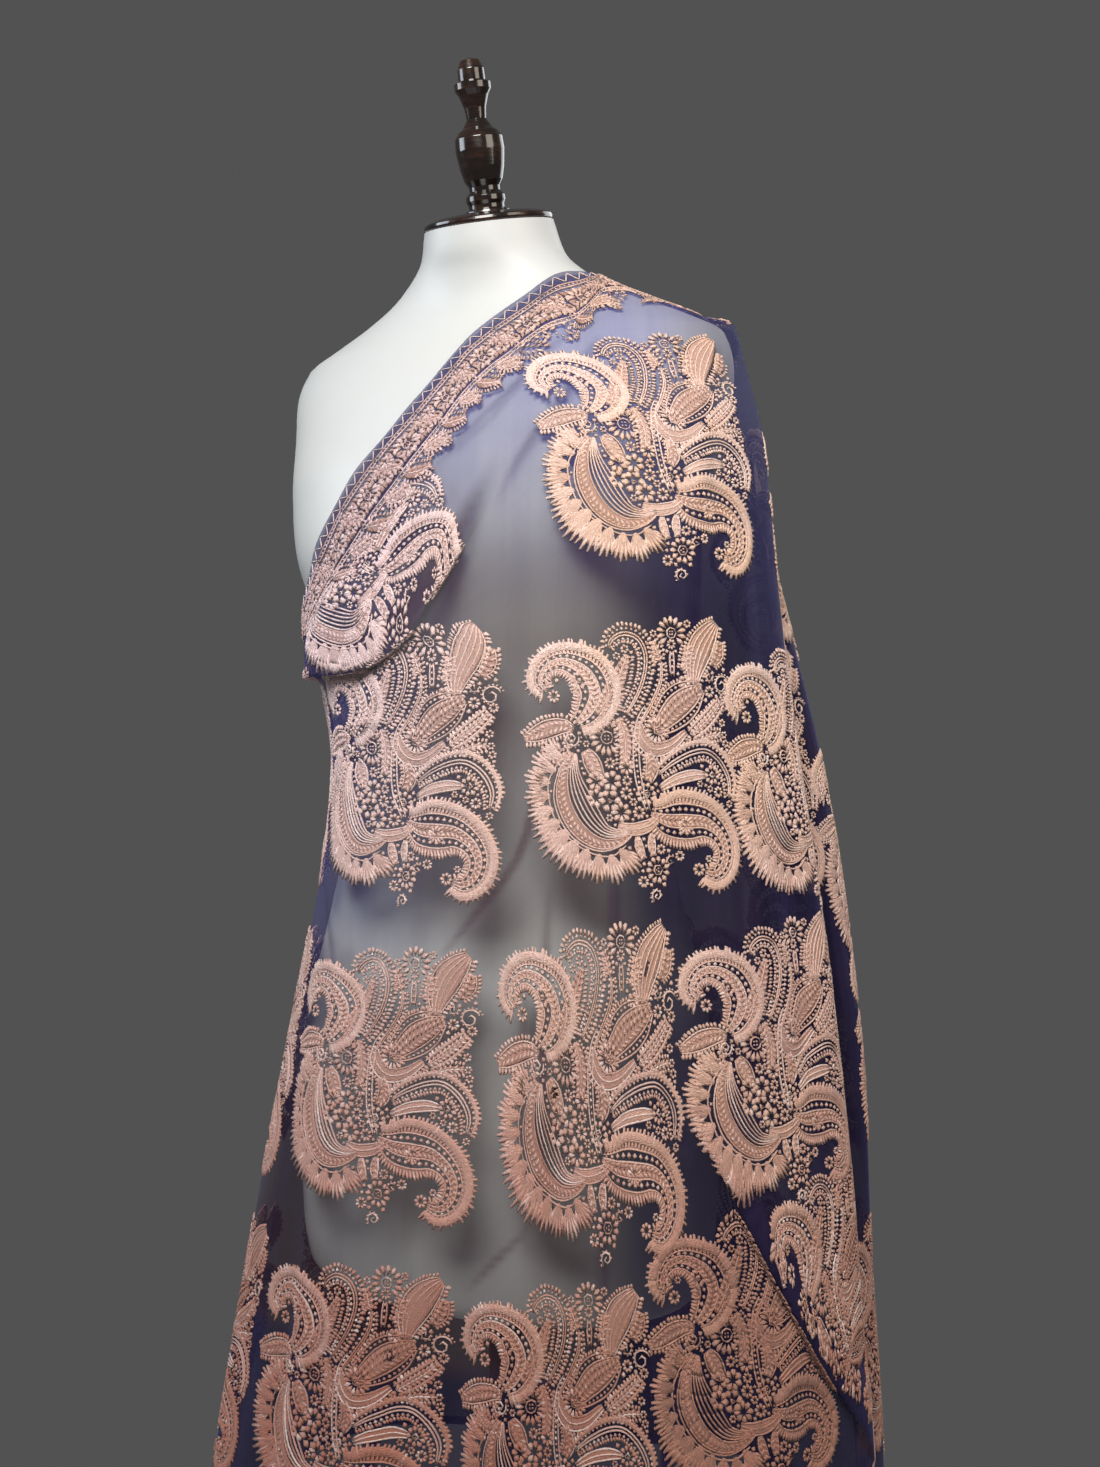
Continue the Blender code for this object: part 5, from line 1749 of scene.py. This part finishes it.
@dataclass(frozen=True)
class DressForm:
    """The limbless form, the black cap and finial on its neck, and its stand.

    ring_shares are the sizes of the two small rings that close an end of the torso, and edge_shares the places of the
    rings along each straight of a turned profile, close to its corners to keep them crisp.
    """

    drape: Drape
    samples: int = 1200
    rings: int = 150
    sides: int = 120
    turned_sides: int = 72
    ring_shares: tuple[float, float] = (0.002, 0.97)
    edge_shares: tuple[float, ...] = (0.06, 0.5, 0.94, 1.0)
    axis: float = 0.0005
    tilt_start: float = 1.430
    side_bearing: float = 70.0
    pole_radius: float = 0.0135
    flange_radius: float = 0.042
    flange_deep: float = 0.006
    flange_round: float = 0.001
    base_radius: float = 0.165
    base_edge: float = 0.010
    base_round: float = 0.0015
    base_crown: float = 0.030
    collar_radius: float = 0.024
    collar_tall: float = 0.034
    collar_slope: float = 0.7

    def torso(self, finish: bpy.types.Material) -> None:
        """The torso: rings of the section table, closed at the bottom and at the leaning top of the neck.

        Rings are denser where the sections change fast: their heights follow the distance run down the side.
        """
        fine = np.linspace(FORM_BOTTOM, NECK_TOP, self.samples)
        side = np.stack((self.drape.form_radius(np.full_like(fine, self.side_bearing), fine), fine), -1)
        run = run_length(side)
        heights = np.interp(np.linspace(0, run[-1], self.rings), run, fine)[::-1]
        b, z = np.meshgrid(np.arange(self.sides) * 360 / self.sides, heights)
        points = self.drape.place(b, z, self.drape.form_radius(b, z))
        tilt = np.clip((z - self.tilt_start) / (NECK_TOP - self.tilt_start), 0, 1) * math.tan(NECK_LEAN)
        points[..., 2] += tilt * (points[..., 1] + self.drape.forward_of(z))
        top, foot = (
            [end.mean(0) + (end - end.mean(0)) * share for share in self.ring_shares] for end in (points[0], points[-1])
        )
        grid = np.concatenate((top, points, foot[::-1]))
        thing = new_piece("torso_skin", grid, grid_quads(len(grid), self.sides, True), finish)
        close_holes(thing)
        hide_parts(FORM)

    def turned(
        self, name: str, outline: Points, foot: tuple[float, ...], lean: float, finish: bpy.types.Material,
        node: str,
    ) -> None:
        """A turned piece: a close profile carried round its axis, x = r cos a, y = r sin a, then leant and placed.

        Args:
            name: The piece's name.
            outline: The profile's (radius, height) corners from its foot up.
            foot: Where the axis starts.
            lean: How far the axis leans forward, in radians.
            finish: Its material.
            node: The CAD node that it stands for.
        """
        corners, shares = np.array(outline), np.array(self.edge_shares)
        between = corners[:-1, None] + np.diff(corners, axis=0)[:, None] * shares[:, None]
        knots = np.concatenate((corners[:1], between.reshape(-1, 2)))[::-1]
        way = rays(-np.arange(self.turned_sides) * 2 * np.pi / self.turned_sides)
        x, y = knots[:, :1] * way[:, 0], knots[:, :1] * way[:, 1]
        z = np.broadcast_to(knots[:, 1:], x.shape)
        y, z = y * math.cos(lean) - z * math.sin(lean), y * math.sin(lean) + z * math.cos(lean)
        quads = grid_quads(len(knots), self.turned_sides, True)[:, ::-1]
        thing = new_piece(name, np.stack((x, y, z), -1) + np.array(foot), quads, finish)
        close_holes(thing)
        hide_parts(node)

    def closed(self, *corners: tuple[float, float]) -> Points:
        """A profile that runs in to the axis at both its ends."""
        return ((self.axis, corners[0][1]), *corners, (self.axis, corners[-1][1]))

    def build(self, made: Finishes) -> None:
        """Builds every piece of the form and stand."""
        self.torso(made.skin)
        neck = np.array((0.0, -NECK_FORWARD, NECK_TOP))
        up = np.array((0.0, -math.sin(NECK_LEAN), math.cos(NECK_LEAN)))
        for name, outline, away in (
            ("cap", CAP, GAP),
            ("finial", ((0.0004, 0.0), *FINIAL), CAP[-1].height + 2 * GAP),
        ):
            self.turned(f"{name}_turned", outline, neck + away * up, NECK_LEAN, made.lacquer, f"neck_{name}")
        crown = [
            (self.base_radius * math.sin(a), self.base_edge + (self.base_crown - self.base_edge) * math.cos(a))
            for a in np.radians(np.linspace(90, 0.2, 12))
        ]
        foot = [(self.axis, 0.0), (self.base_radius - self.base_round, 0.0), (self.base_radius, self.base_round)]
        collar_foot, flange_foot = self.base_crown + GAP, FORM_BOTTOM - GAP - self.flange_deep
        pole_foot = collar_foot + self.collar_tall + GAP
        pole_tall = flange_foot - GAP - pole_foot
        collar = self.closed(
            (self.collar_radius, 0.0),
            (self.collar_radius, self.collar_tall * self.collar_slope),
            (self.collar_radius * self.collar_slope, self.collar_tall),
        )
        flange = self.closed(
            (self.flange_radius - self.flange_round, 0.0),
            (self.flange_radius, self.flange_round),
            (self.flange_radius, self.flange_deep),
        )
        for name, outline, low in (
            ("base", (*foot, *crown), 0.0),
            ("collar", collar, collar_foot),
            ("pole", self.closed((self.pole_radius, 0.0), (self.pole_radius, pole_tall)), pole_foot),
            ("flange", flange, flange_foot),
        ):
            self.turned(f"{name}_turned", outline, (0, 0, low), 0, made.iron, f"stand_{name}")
        log.info("form, cap, finial and stand built")


@dataclass
class Stretch:
    """One stretch of the wound cloth: the net, its rolled hem and its worked border.

    The net counts as edging_plies doubled within edging_reach of the edge, less over the last edging_fade of it. The
    hem stands out by hem_out to each side of the net.
    """

    name: str
    edges: tuple[Edge, ...]
    columns: int
    rows: int
    drape: Drape
    lying_floor: float = 1.300
    lying_turn: float = 0.85
    lying_rise: float = 0.10
    hanging_ease: float = 0.55
    samples: int = 160
    edge_samples: int = 400
    border_reach: float = 0.084
    border_step: float = 0.003
    slant_reach: float = 0.132
    edging_rows: int = 14
    edging_plies: float = 0.8
    edging_reach: float = 0.0125
    edging_fade: float = 0.002
    hem_tall: float = 0.007
    hem_out: float = 0.0011
    corded: bool = False
    cord_from: float = 0.13
    cord_until: float = 0.012
    cord_step: float = 0.004
    cord_inset: float = 0.0025
    cord_base: float = 0.0003

    def stations(self) -> np.ndarray:
        """Places along the top edge as (bearing, height, hem bearing), evenly spaced by the mean of edge and hem."""
        at = np.linspace(0, len(self.edges) - 1, self.edge_samples)
        knots = list(range(len(self.edges)))
        bearing, height, hem = (smooth(knots, [row[i] for row in self.edges], at) for i in range(3))
        runs = [run_length(self.drape.cloth(*line)) for line in ((bearing, height), (hem, np.full_like(at, HEM)))]
        share = sum(run / run[-1] / 2 for run in runs)
        return resampled(np.stack((bearing, height, hem), -1), share, np.linspace(0, 1, self.columns))

    @cached_property
    def lines(self) -> tuple[np.ndarray, np.ndarray, np.ndarray]:
        """Close samples of each column's line from the edge to the hem.

        Above lying_floor a line runs straight in plan over the shoulder or chest; below it, it hangs, and its
        bearing eases over to the hem's as 1 - (1 - t)^2.

        Returns:
            Bearings, heights and the distance run down each line, (columns, samples).
        """
        bearing, height, hem = self.stations().T
        floor = np.minimum(self.lying_floor, height)
        turn = np.where(height > self.lying_floor, hem, bearing)
        share = np.clip((height - self.lying_floor) / self.lying_rise, 0, 1)
        leave = bearing + (turn - bearing) * share * self.lying_turn
        first, last = self.drape.cloth(bearing, height), self.drape.cloth(leave, floor)
        t = np.linspace(0, 1, self.samples)[:-1]
        plan = first[:, None, :2] + (last - first)[:, None, :2] * t[None, :, None]
        level = self.drape.height_over(plan[..., 0], plan[..., 1], floor[:, None])
        lying = np.degrees(np.arctan2(plan[..., 0], -(plan[..., 1] + self.drape.forward_of(level))))
        lying += 360 * np.round((bearing[:, None] - lying) / 360)
        flat = (height <= self.lying_floor)[:, None]
        level = np.where(flat, floor[:, None], level)
        lying = np.where(flat, bearing[:, None], lying)
        down = np.linspace(0, 1, self.samples)[None]
        ease = 1 - (1 - np.clip(down / self.hanging_ease, 0, 1)) ** 2
        bearings = np.concatenate((lying, leave[:, None] + (hem - leave)[:, None] * ease), 1)
        heights = np.concatenate((level, floor[:, None] + (HEM - floor[:, None]) * down), 1)
        return bearings, heights, run_length(self.drape.cloth(bearings, heights))

    def below(self, want: np.ndarray) -> tuple[np.ndarray, np.ndarray]:
        """Bearings and heights, (rows, columns), at wanted distances down each line, (columns, rows)."""
        bearings, heights, length = self.lines
        return read_rows(want, length, bearings).T, read_rows(want, length, heights).T

    def woven(self) -> tuple[np.ndarray, np.ndarray, np.ndarray]:
        """The net's grid: rows at set distances below the edge through the border, then even ones to the hem.

        Returns:
            Points (rows, columns, 3); distances below the edge and doubling with painted crease shade, (rows, columns).
        """
        border = np.arange(0, self.border_reach, self.border_step)
        rest = np.linspace(0, 1, self.rows - len(border) + 1)[1:]
        under = border[-1] + (self.lines[2][:, -1:] - border[-1]) * rest
        want = np.concatenate((np.tile(border, (self.columns, 1)), under), 1)
        bearing, height = self.below(want)
        # The laps double the cloth, and the creases add painted shade.
        doubled = np.maximum(self.drape.laps(bearing, height)[2], self.drape.creases(bearing, height)[1])
        return self.drape.surface(bearing, height), want.T, doubled

    def top(self) -> np.ndarray:
        """The cloth below the edge as far as the border's slanting rows reach, (rows, columns, 3)."""
        down = np.arange(0, self.slant_reach, self.border_step)
        return self.drape.surface(*self.below(np.tile(down, (self.columns, 1))))

    def build(self, made: Finishes, edge: "TopEdge") -> None:
        points, down, doubled = self.woven()
        across = run_length(points[len(points) // 3])[None] + 0 * down
        quads = grid_quads(*down.shape)
        net = new_piece(f"net_{self.name}", points, quads, made.net)
        set_uv(net, "cloth", np.stack((across, -down), -1).reshape(-1, 2))
        upper = points[: self.edging_rows]
        near = nearest(upper.reshape(-1, 3), edge.line).reshape(upper.shape[:2])
        edging = self.edging_plies * np.clip((self.edging_reach - near) / self.edging_fade, 0, 1)
        doubled[: self.edging_rows] = np.maximum(doubled[: self.edging_rows], edging)
        set_attribute(net, "plies", doubled)
        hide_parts(f"dupatta_{self.name}")
        hem = self.hem(points, made)
        if self.corded:
            self.fold_cord(points, down, made)
        sewn = edge.laid(BorderBand().worked(edge.tile, *edge.spans[self.name]))
        border = needlework(f"border_work_{self.name}", sewn, made, f"border_{self.name}")
        a, b, c, d = (points.reshape(-1, 3)[quads[:, k]] for k in range(4))
        area = float(np.linalg.norm(np.cross(c - a, d - b), axis=1).sum() / 2)

    def fold_cord(self, points: np.ndarray, down: np.ndarray, made: Finishes) -> None:
        """The fine pale cord on the fold where this stretch ends, from below the shoulder to the hem."""
        last = points[::-1, -4:]
        step = float(np.linalg.norm(last[0, -1] - last[0, -2]))
        ground = Ground.over(np.arange(-3, 1) * step, -down[::-1, -1], last)
        fall = np.arange(self.cord_from, float(down[-1, -1]) - self.cord_until, self.cord_step)
        work = Work()
        work.cord(np.stack((0 * fall - self.cord_inset, -fall), -1), 2.2 * MM, 1.5 * MM, 0.16)
        sewn = work.bound()
        needlework("fold_cord", replace(sewn, vertices=ground.lay(sewn.vertices, self.cord_base)), made)

    def hem(self, points: np.ndarray, made: Finishes) -> bpy.types.Object:
        """The rolled hem: a flat closed strip that stands out to each side of the net's last rows."""
        ground = Ground.over(np.arange(points.shape[1]), np.arange(len(points)), points[::-1])
        last = ground.places[0]
        upper = last + unit(ground.places[1] - last) * self.hem_tall
        out = ground.normals[0] * self.hem_out
        ring = np.stack((upper + out, last + out, last - out, upper - out))
        wide = len(last)
        r, c = np.meshgrid(np.arange(4), np.arange(wide - 1), indexing="ij")
        n = (r + 1) % 4
        quads = np.stack((r * wide + c, n * wide + c, n * wide + c + 1, r * wide + c + 1), -1).reshape(-1, 4)
        first = np.arange(4) * wide
        faces = np.vstack((quads, first[::-1], first + wide - 1))
        thing = new_piece(f"hem_{self.name}", ring, faces, made.net)
        drop = np.repeat([0, -self.hem_tall, -self.hem_tall - MM, -MM], wide)
        set_uv(thing, "cloth", np.stack((np.tile(run_length(last), 4), drop), -1))
        set_attribute(thing, "plies", np.ones(4 * wide))
        return thing


@dataclass(frozen=True)
class TopEdge:
    """The cloth's whole worked edge: a ground over the three stretches, and how far its columns slant.

    Measures across run along the edge from the back's end, and the ground's measures up are minus the distance down
    its columns.
    """

    ground: Ground
    cosine: np.ndarray
    line: np.ndarray
    tile: Sewn
    spans: dict[str, tuple[float, float]]
    base: float = 0.0004
    most_pull: float = 1.55
    pull_ease: float = 0.0004
    rounds: int = 3

    @classmethod
    def over(cls, stretches: list[Stretch], low: int = 14, reach: int = 9, most: float = 0.8) -> "TopEdge":
        """Joins the stretches' tops side by side, without the column that each shares with the next.

        Args:
            stretches: The stretches in the order of the cloth.
            low: The row that a column's slant is measured down to.
            reach: How many columns to each side the slants are averaged over.
            most: The largest cosine of the angle between edge and column.

        Returns:
            The edge.
        """
        tops = [stretch.top() for stretch in stretches]
        points = np.concatenate([tops[0], *(top[:, 1:] for top in tops[1:])], 1)
        run = run_length(points[0])
        ends = run[np.cumsum([top.shape[1] - 1 for top in tops])]
        along, down = np.gradient(points[2], axis=0), points[low] - points[0]
        cosine = (unit(along) * unit(down)).sum(-1)
        around = 2 * reach + 1
        soft = np.convolve(np.pad(cosine, reach, mode="edge"), np.ones(around) / around, mode="valid")
        ground = Ground.over(run, -np.arange(len(points))[::-1] * stretches[0].border_step, points[::-1])
        spans = {part.name: (float(a), float(b)) for part, a, b in zip(stretches, (0.0, *ends[:-1]), ends)}
        return cls(ground, np.clip(soft, -most, most), points[0], BorderBand().tile(), spans)

    def laid(self, sewn: Sewn) -> Sewn:
        """A stretch's needlework on the cloth, without strips that the turn of the shoulder would pull long."""
        places = self.lay(sewn.vertices)
        a, b = sewn.faces.ravel(), np.roll(sewn.faces, 1, axis=1).ravel()
        flat, long = (np.linalg.norm(at[a] - at[b], axis=1) for at in (sewn.vertices, places))
        pulled = np.zeros(len(places), dtype=bool)
        pulled[a[long > self.most_pull * flat + self.pull_ease]] = True
        return replace(sewn, vertices=places).kept(~pulled)

    def lay(self, worked: np.ndarray) -> np.ndarray:
        """Flat stitches square to the edge, laid on the slanting columns.

        A stitch at distance d from the edge lies d / sin down the column that starts d x cos / sin behind it, where
        the angle is the one between edge and column; a few rounds find that column.
        """
        across, down = worked[:, 0], -worked[:, 1]
        foot = across
        for _ in range(self.rounds):
            cosine = np.interp(foot, self.ground.across, self.cosine)
            sine = np.sqrt(1 - cosine**2)
            foot = across - down * cosine / sine
        return self.ground.lay(np.stack((foot, -down / sine, worked[:, 2]), -1), self.base)


def needlework(name: str, sewn: Sewn, made: Finishes, node: str | None = None) -> bpy.types.Object:
    """A piece of raised needlework, with its thread measures and tones.

    Args:
        name: The piece's name.
        sewn: The stitches as they lie on the cloth.
        made: The finishes.
        node: The CAD node that it stands for, if any.

    Returns:
        The new object.
    """
    thing = new_piece(name, sewn.vertices, sewn.faces, made.thread)
    set_uv(thing, "thread", sewn.threads)
    set_attribute(thing, "tone", sewn.tones)
    if node:
        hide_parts(node)
    log.info("%s: %d triangles", name, len(sewn.faces))
    return thing


@dataclass(frozen=True)
class Embroidery:
    """The repeated bouquets, each mapped from the flat on to the hanging cloth.

    No stitch comes nearer than clear_of_edge to the edge or clear_of_hem to the hem, or past the bearings in ends. A
    bouquet that a lap cuts keeps lap_gap from the line that lies lap_lip above the lap's own.
    """

    drape: Drape
    step: float = 0.003
    reach: float = 0.130
    base: float = 0.0003
    lowest: float = HEM + 0.003
    highest: float = 1.425
    around: float = 70.0
    samples: tuple[int, int] = (500, 94)
    edge_samples: int = 120
    clear_of_edge: float = 0.054
    clear_of_hem: float = 0.014
    lap_lip: float = 0.004
    lap_gap: float = 0.002
    ends: tuple[float, float] = (-220.0, 178.0)
    parted_rings: int = 5

    def ground(self, motif: Motif) -> tuple[Ground, np.ndarray, np.ndarray]:
        """The cloth round a bouquet's middle: heights follow the distance run down it, bearings the distance round it.

        Args:
            motif: The bouquet.

        Returns:
            The ground, and its grids of bearings and heights.
        """
        flat = np.arange(-self.reach, self.reach + self.step / 2, self.step)
        fine = np.linspace(self.lowest, self.highest, self.samples[0])
        line = run_length(self.drape.surface(np.full_like(fine, motif.bearing), fine))
        heights = np.interp(np.interp(motif.height, fine, line) + flat, line, fine)
        b, z = np.meshgrid(motif.bearing + np.linspace(-self.around, self.around, self.samples[1]), heights)
        run = run_length(self.drape.surface(b, z))
        start = read_rows(np.full((len(heights), 1), motif.bearing), b, run)
        at = read_rows(start + flat[None], run, b)
        level = np.repeat(heights[:, None], len(flat), 1)
        return Ground.over(flat, flat, self.drape.surface(at, level)), at, level

    def edge_line(self) -> np.ndarray:
        """The whole top edge as close points, from the three stretches."""
        lines = []
        for edges in (BACK_EDGE, FRONT_EDGE, FALL_EDGE):
            at = np.linspace(0, len(edges) - 1, self.edge_samples)
            lines.append(
                self.drape.cloth(*(smooth(list(range(len(edges))), [row[k] for row in edges], at) for k in (0, 1)))
            )
        return np.concatenate(lines)

    def laid(self, motif: Motif, bouquet: Sewn, edge: np.ndarray) -> Sewn:
        """One bouquet on the cloth, less the stitches that would lie on the border, the hem or past a free end."""
        x, y, rise = (bouquet.vertices * (motif.width / Bouquet.width, motif.tall, 1)).T
        c, s = math.cos(math.radians(motif.turn)), math.sin(math.radians(motif.turn))
        flat = np.stack((x * c - y * s, x * s + y * c, rise), -1)
        ground, bearings, heights = self.ground(motif)
        places = ground.lay(flat, self.base)
        bearing, height = (ground.read(grid[..., None], flat)[:, 0] for grid in (bearings, heights))
        rising = [*BACK_EDGE, *FRONT_EDGE[1:9], *FALL_EDGE[2:]]
        top = np.interp(bearing, [row.bearing for row in rising], [row.height for row in rising])
        keep = (nearest(places, edge) > self.clear_of_edge) & (height < top) & (height > HEM + self.clear_of_hem)
        keep &= (bearing > self.ends[0]) & (bearing < self.ends[1])
        if motif.lap:
            line = column(LAPS[1], "height", np.clip(bearing, LAPS[1][0].bearing, LAPS[1][-1].bearing), "bearing")
            keep &= (height - line - self.lap_lip) * motif.lap > self.lap_gap
        return replace(bouquet, vertices=places, tones=bouquet.tones + motif.tone).kept(keep)

    def build(self, made: Finishes) -> None:
        """Works the bouquet once, then lays it wherever the cloth repeats it."""
        whole, parted = Bouquet().worked(), Bouquet(most_rings=self.parted_rings).worked()
        edge = self.edge_line()
        for name, motifs in MOTIFS.items():
            sewn = Sewn.joined([self.laid(motif, parted if motif.cut else whole, edge) for motif in motifs])
            needlework(f"bouquets_{name}", sewn, made)


class Lamp(NamedTuple):
    """A square soft lamp: its place, power, size and colour, and the spread in degrees that a grid keeps it within."""

    name: str
    place: tuple[float, float, float]
    power: float
    size: float
    colour: Colour
    spread: float = 180.0


LAMPS = rows(
    Lamp,
    ("key", (0.50, -1.55, 2.30), 17.8, 0.9, (1.0, 0.975, 0.94), 110),
    ("cool", (-1.7, -1.0, 1.9), 17, 1.0, (0.82, 0.90, 1.0)),
    ("side", (1.9, -0.5, 1.8), 14, 1.1, (1.0, 0.88, 0.74)),
    ("back", (0.6, 2.2, 2.2), 16, 1.6, (0.95, 0.97, 1.0)),
)


@dataclass(frozen=True)
class Studio:
    """The floor, the lamps, the plain surround and the camera at the photograph's angle."""

    yaw: float = math.radians(27)
    aside: float = 0.0365
    away: float = 1.302
    eye: float = 1.065
    focal: float = 1582.0
    tall: float = 1467.0
    sensor: float = 24.0
    chest: float = 1.25
    floor_radius: float = 0.95
    floor_sides: int = 96
    floor_under: float = 0.0005
    floor_colour: Colour = (0.62, 0.62, 0.61)
    surround: Colour = (0.084, 0.084, 0.084)

    def floor(self) -> None:
        """A plain pale round floor."""
        way = rays(np.arange(self.floor_sides) * 2 * np.pi / self.floor_sides)
        flat = np.array([0.02, 0.5, 1.0])[:, None, None] * self.floor_radius * way
        points = np.concatenate((flat, np.full((*flat.shape[:2], 1), -self.floor_under)), -1).reshape(-1, 3)
        quads = grid_quads(3, self.floor_sides, True)[:, ::-1]
        mesh = bpy.data.meshes.new("floor")
        mesh.from_pydata(points.tolist(), [], [*quads.tolist(), list(range(self.floor_sides))])
        thing = bpy.data.objects.new("floor", mesh)
        bpy.context.scene.collection.objects.link(thing)
        made = bpy.data.materials.new("pale_floor")
        made.use_nodes = True
        values = {"Base Color": self.floor_colour, "Roughness": 0.85}
        Shades(made.node_tree).feed(made.node_tree.nodes["Principled BSDF"], values)
        mesh.materials.append(made)

    def lamp(self, lamp: Lamp) -> None:
        """Hangs one lamp, turned to the form's chest."""
        made = bpy.data.lights.new(lamp.name, "AREA")
        made.energy, made.size, made.color, made.spread = lamp.power, lamp.size, lamp.colour, math.radians(lamp.spread)
        thing = bpy.data.objects.new(lamp.name, made)
        thing.location = lamp.place
        x, y, z = np.array([0.0, 0.0, self.chest]) - np.array(lamp.place)
        thing.rotation_euler = (math.pi / 2 + math.atan2(z, math.hypot(x, y)), 0, math.atan2(-x, y))
        bpy.context.scene.collection.objects.link(thing)

    def camera(self) -> None:
        """The camera: level, aside and away from the axis, turned by yaw, with the photograph's focal length."""
        right = np.array([math.cos(self.yaw), math.sin(self.yaw), 0])
        ahead = np.array([-math.sin(self.yaw), math.cos(self.yaw), 0])
        made = bpy.data.cameras.new("photo_view")
        made.sensor_fit = "VERTICAL"
        made.sensor_height = self.sensor
        made.lens = self.focal / self.tall * self.sensor
        thing = bpy.data.objects.new("photo_view", made)
        thing.location = self.aside * right - self.away * ahead + np.array([0, 0, self.eye])
        thing.rotation_euler = (math.pi / 2, 0, self.yaw)
        bpy.context.scene.collection.objects.link(thing)
        bpy.context.scene.camera = thing

    def build(self) -> None:
        """Sets the whole studio."""
        self.floor()
        self.camera()
        for lamp in LAMPS:
            self.lamp(lamp)
        world = bpy.data.worlds.new("studio")
        world.use_nodes = True
        Shades(world.node_tree).feed(world.node_tree.nodes["Background"], {0: self.surround})
        scene = bpy.context.scene
        scene.world = world
        scene.view_settings.view_transform = "Standard"
        log.info("floor, lamps and camera set")


def main() -> None:
    """Builds the form, the cloth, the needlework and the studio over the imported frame."""
    logging.basicConfig(level=logging.INFO, format="%(message)s")
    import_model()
    made = Finishes.made()
    drape = Drape()
    DressForm(drape).build(made)
    stretches = [
        Stretch("back", BACK_EDGE, 86, 150, drape),
        Stretch("front", FRONT_EDGE, 184, 232, drape, corded=True),
        Stretch("fall", FALL_EDGE, 86, 176, drape),
    ]
    edge = TopEdge.over(stretches)
    for stretch in stretches:
        stretch.build(made, edge)
    Embroidery(drape).build(made)
    Studio().build()


if __name__ == "__main__":
    main()
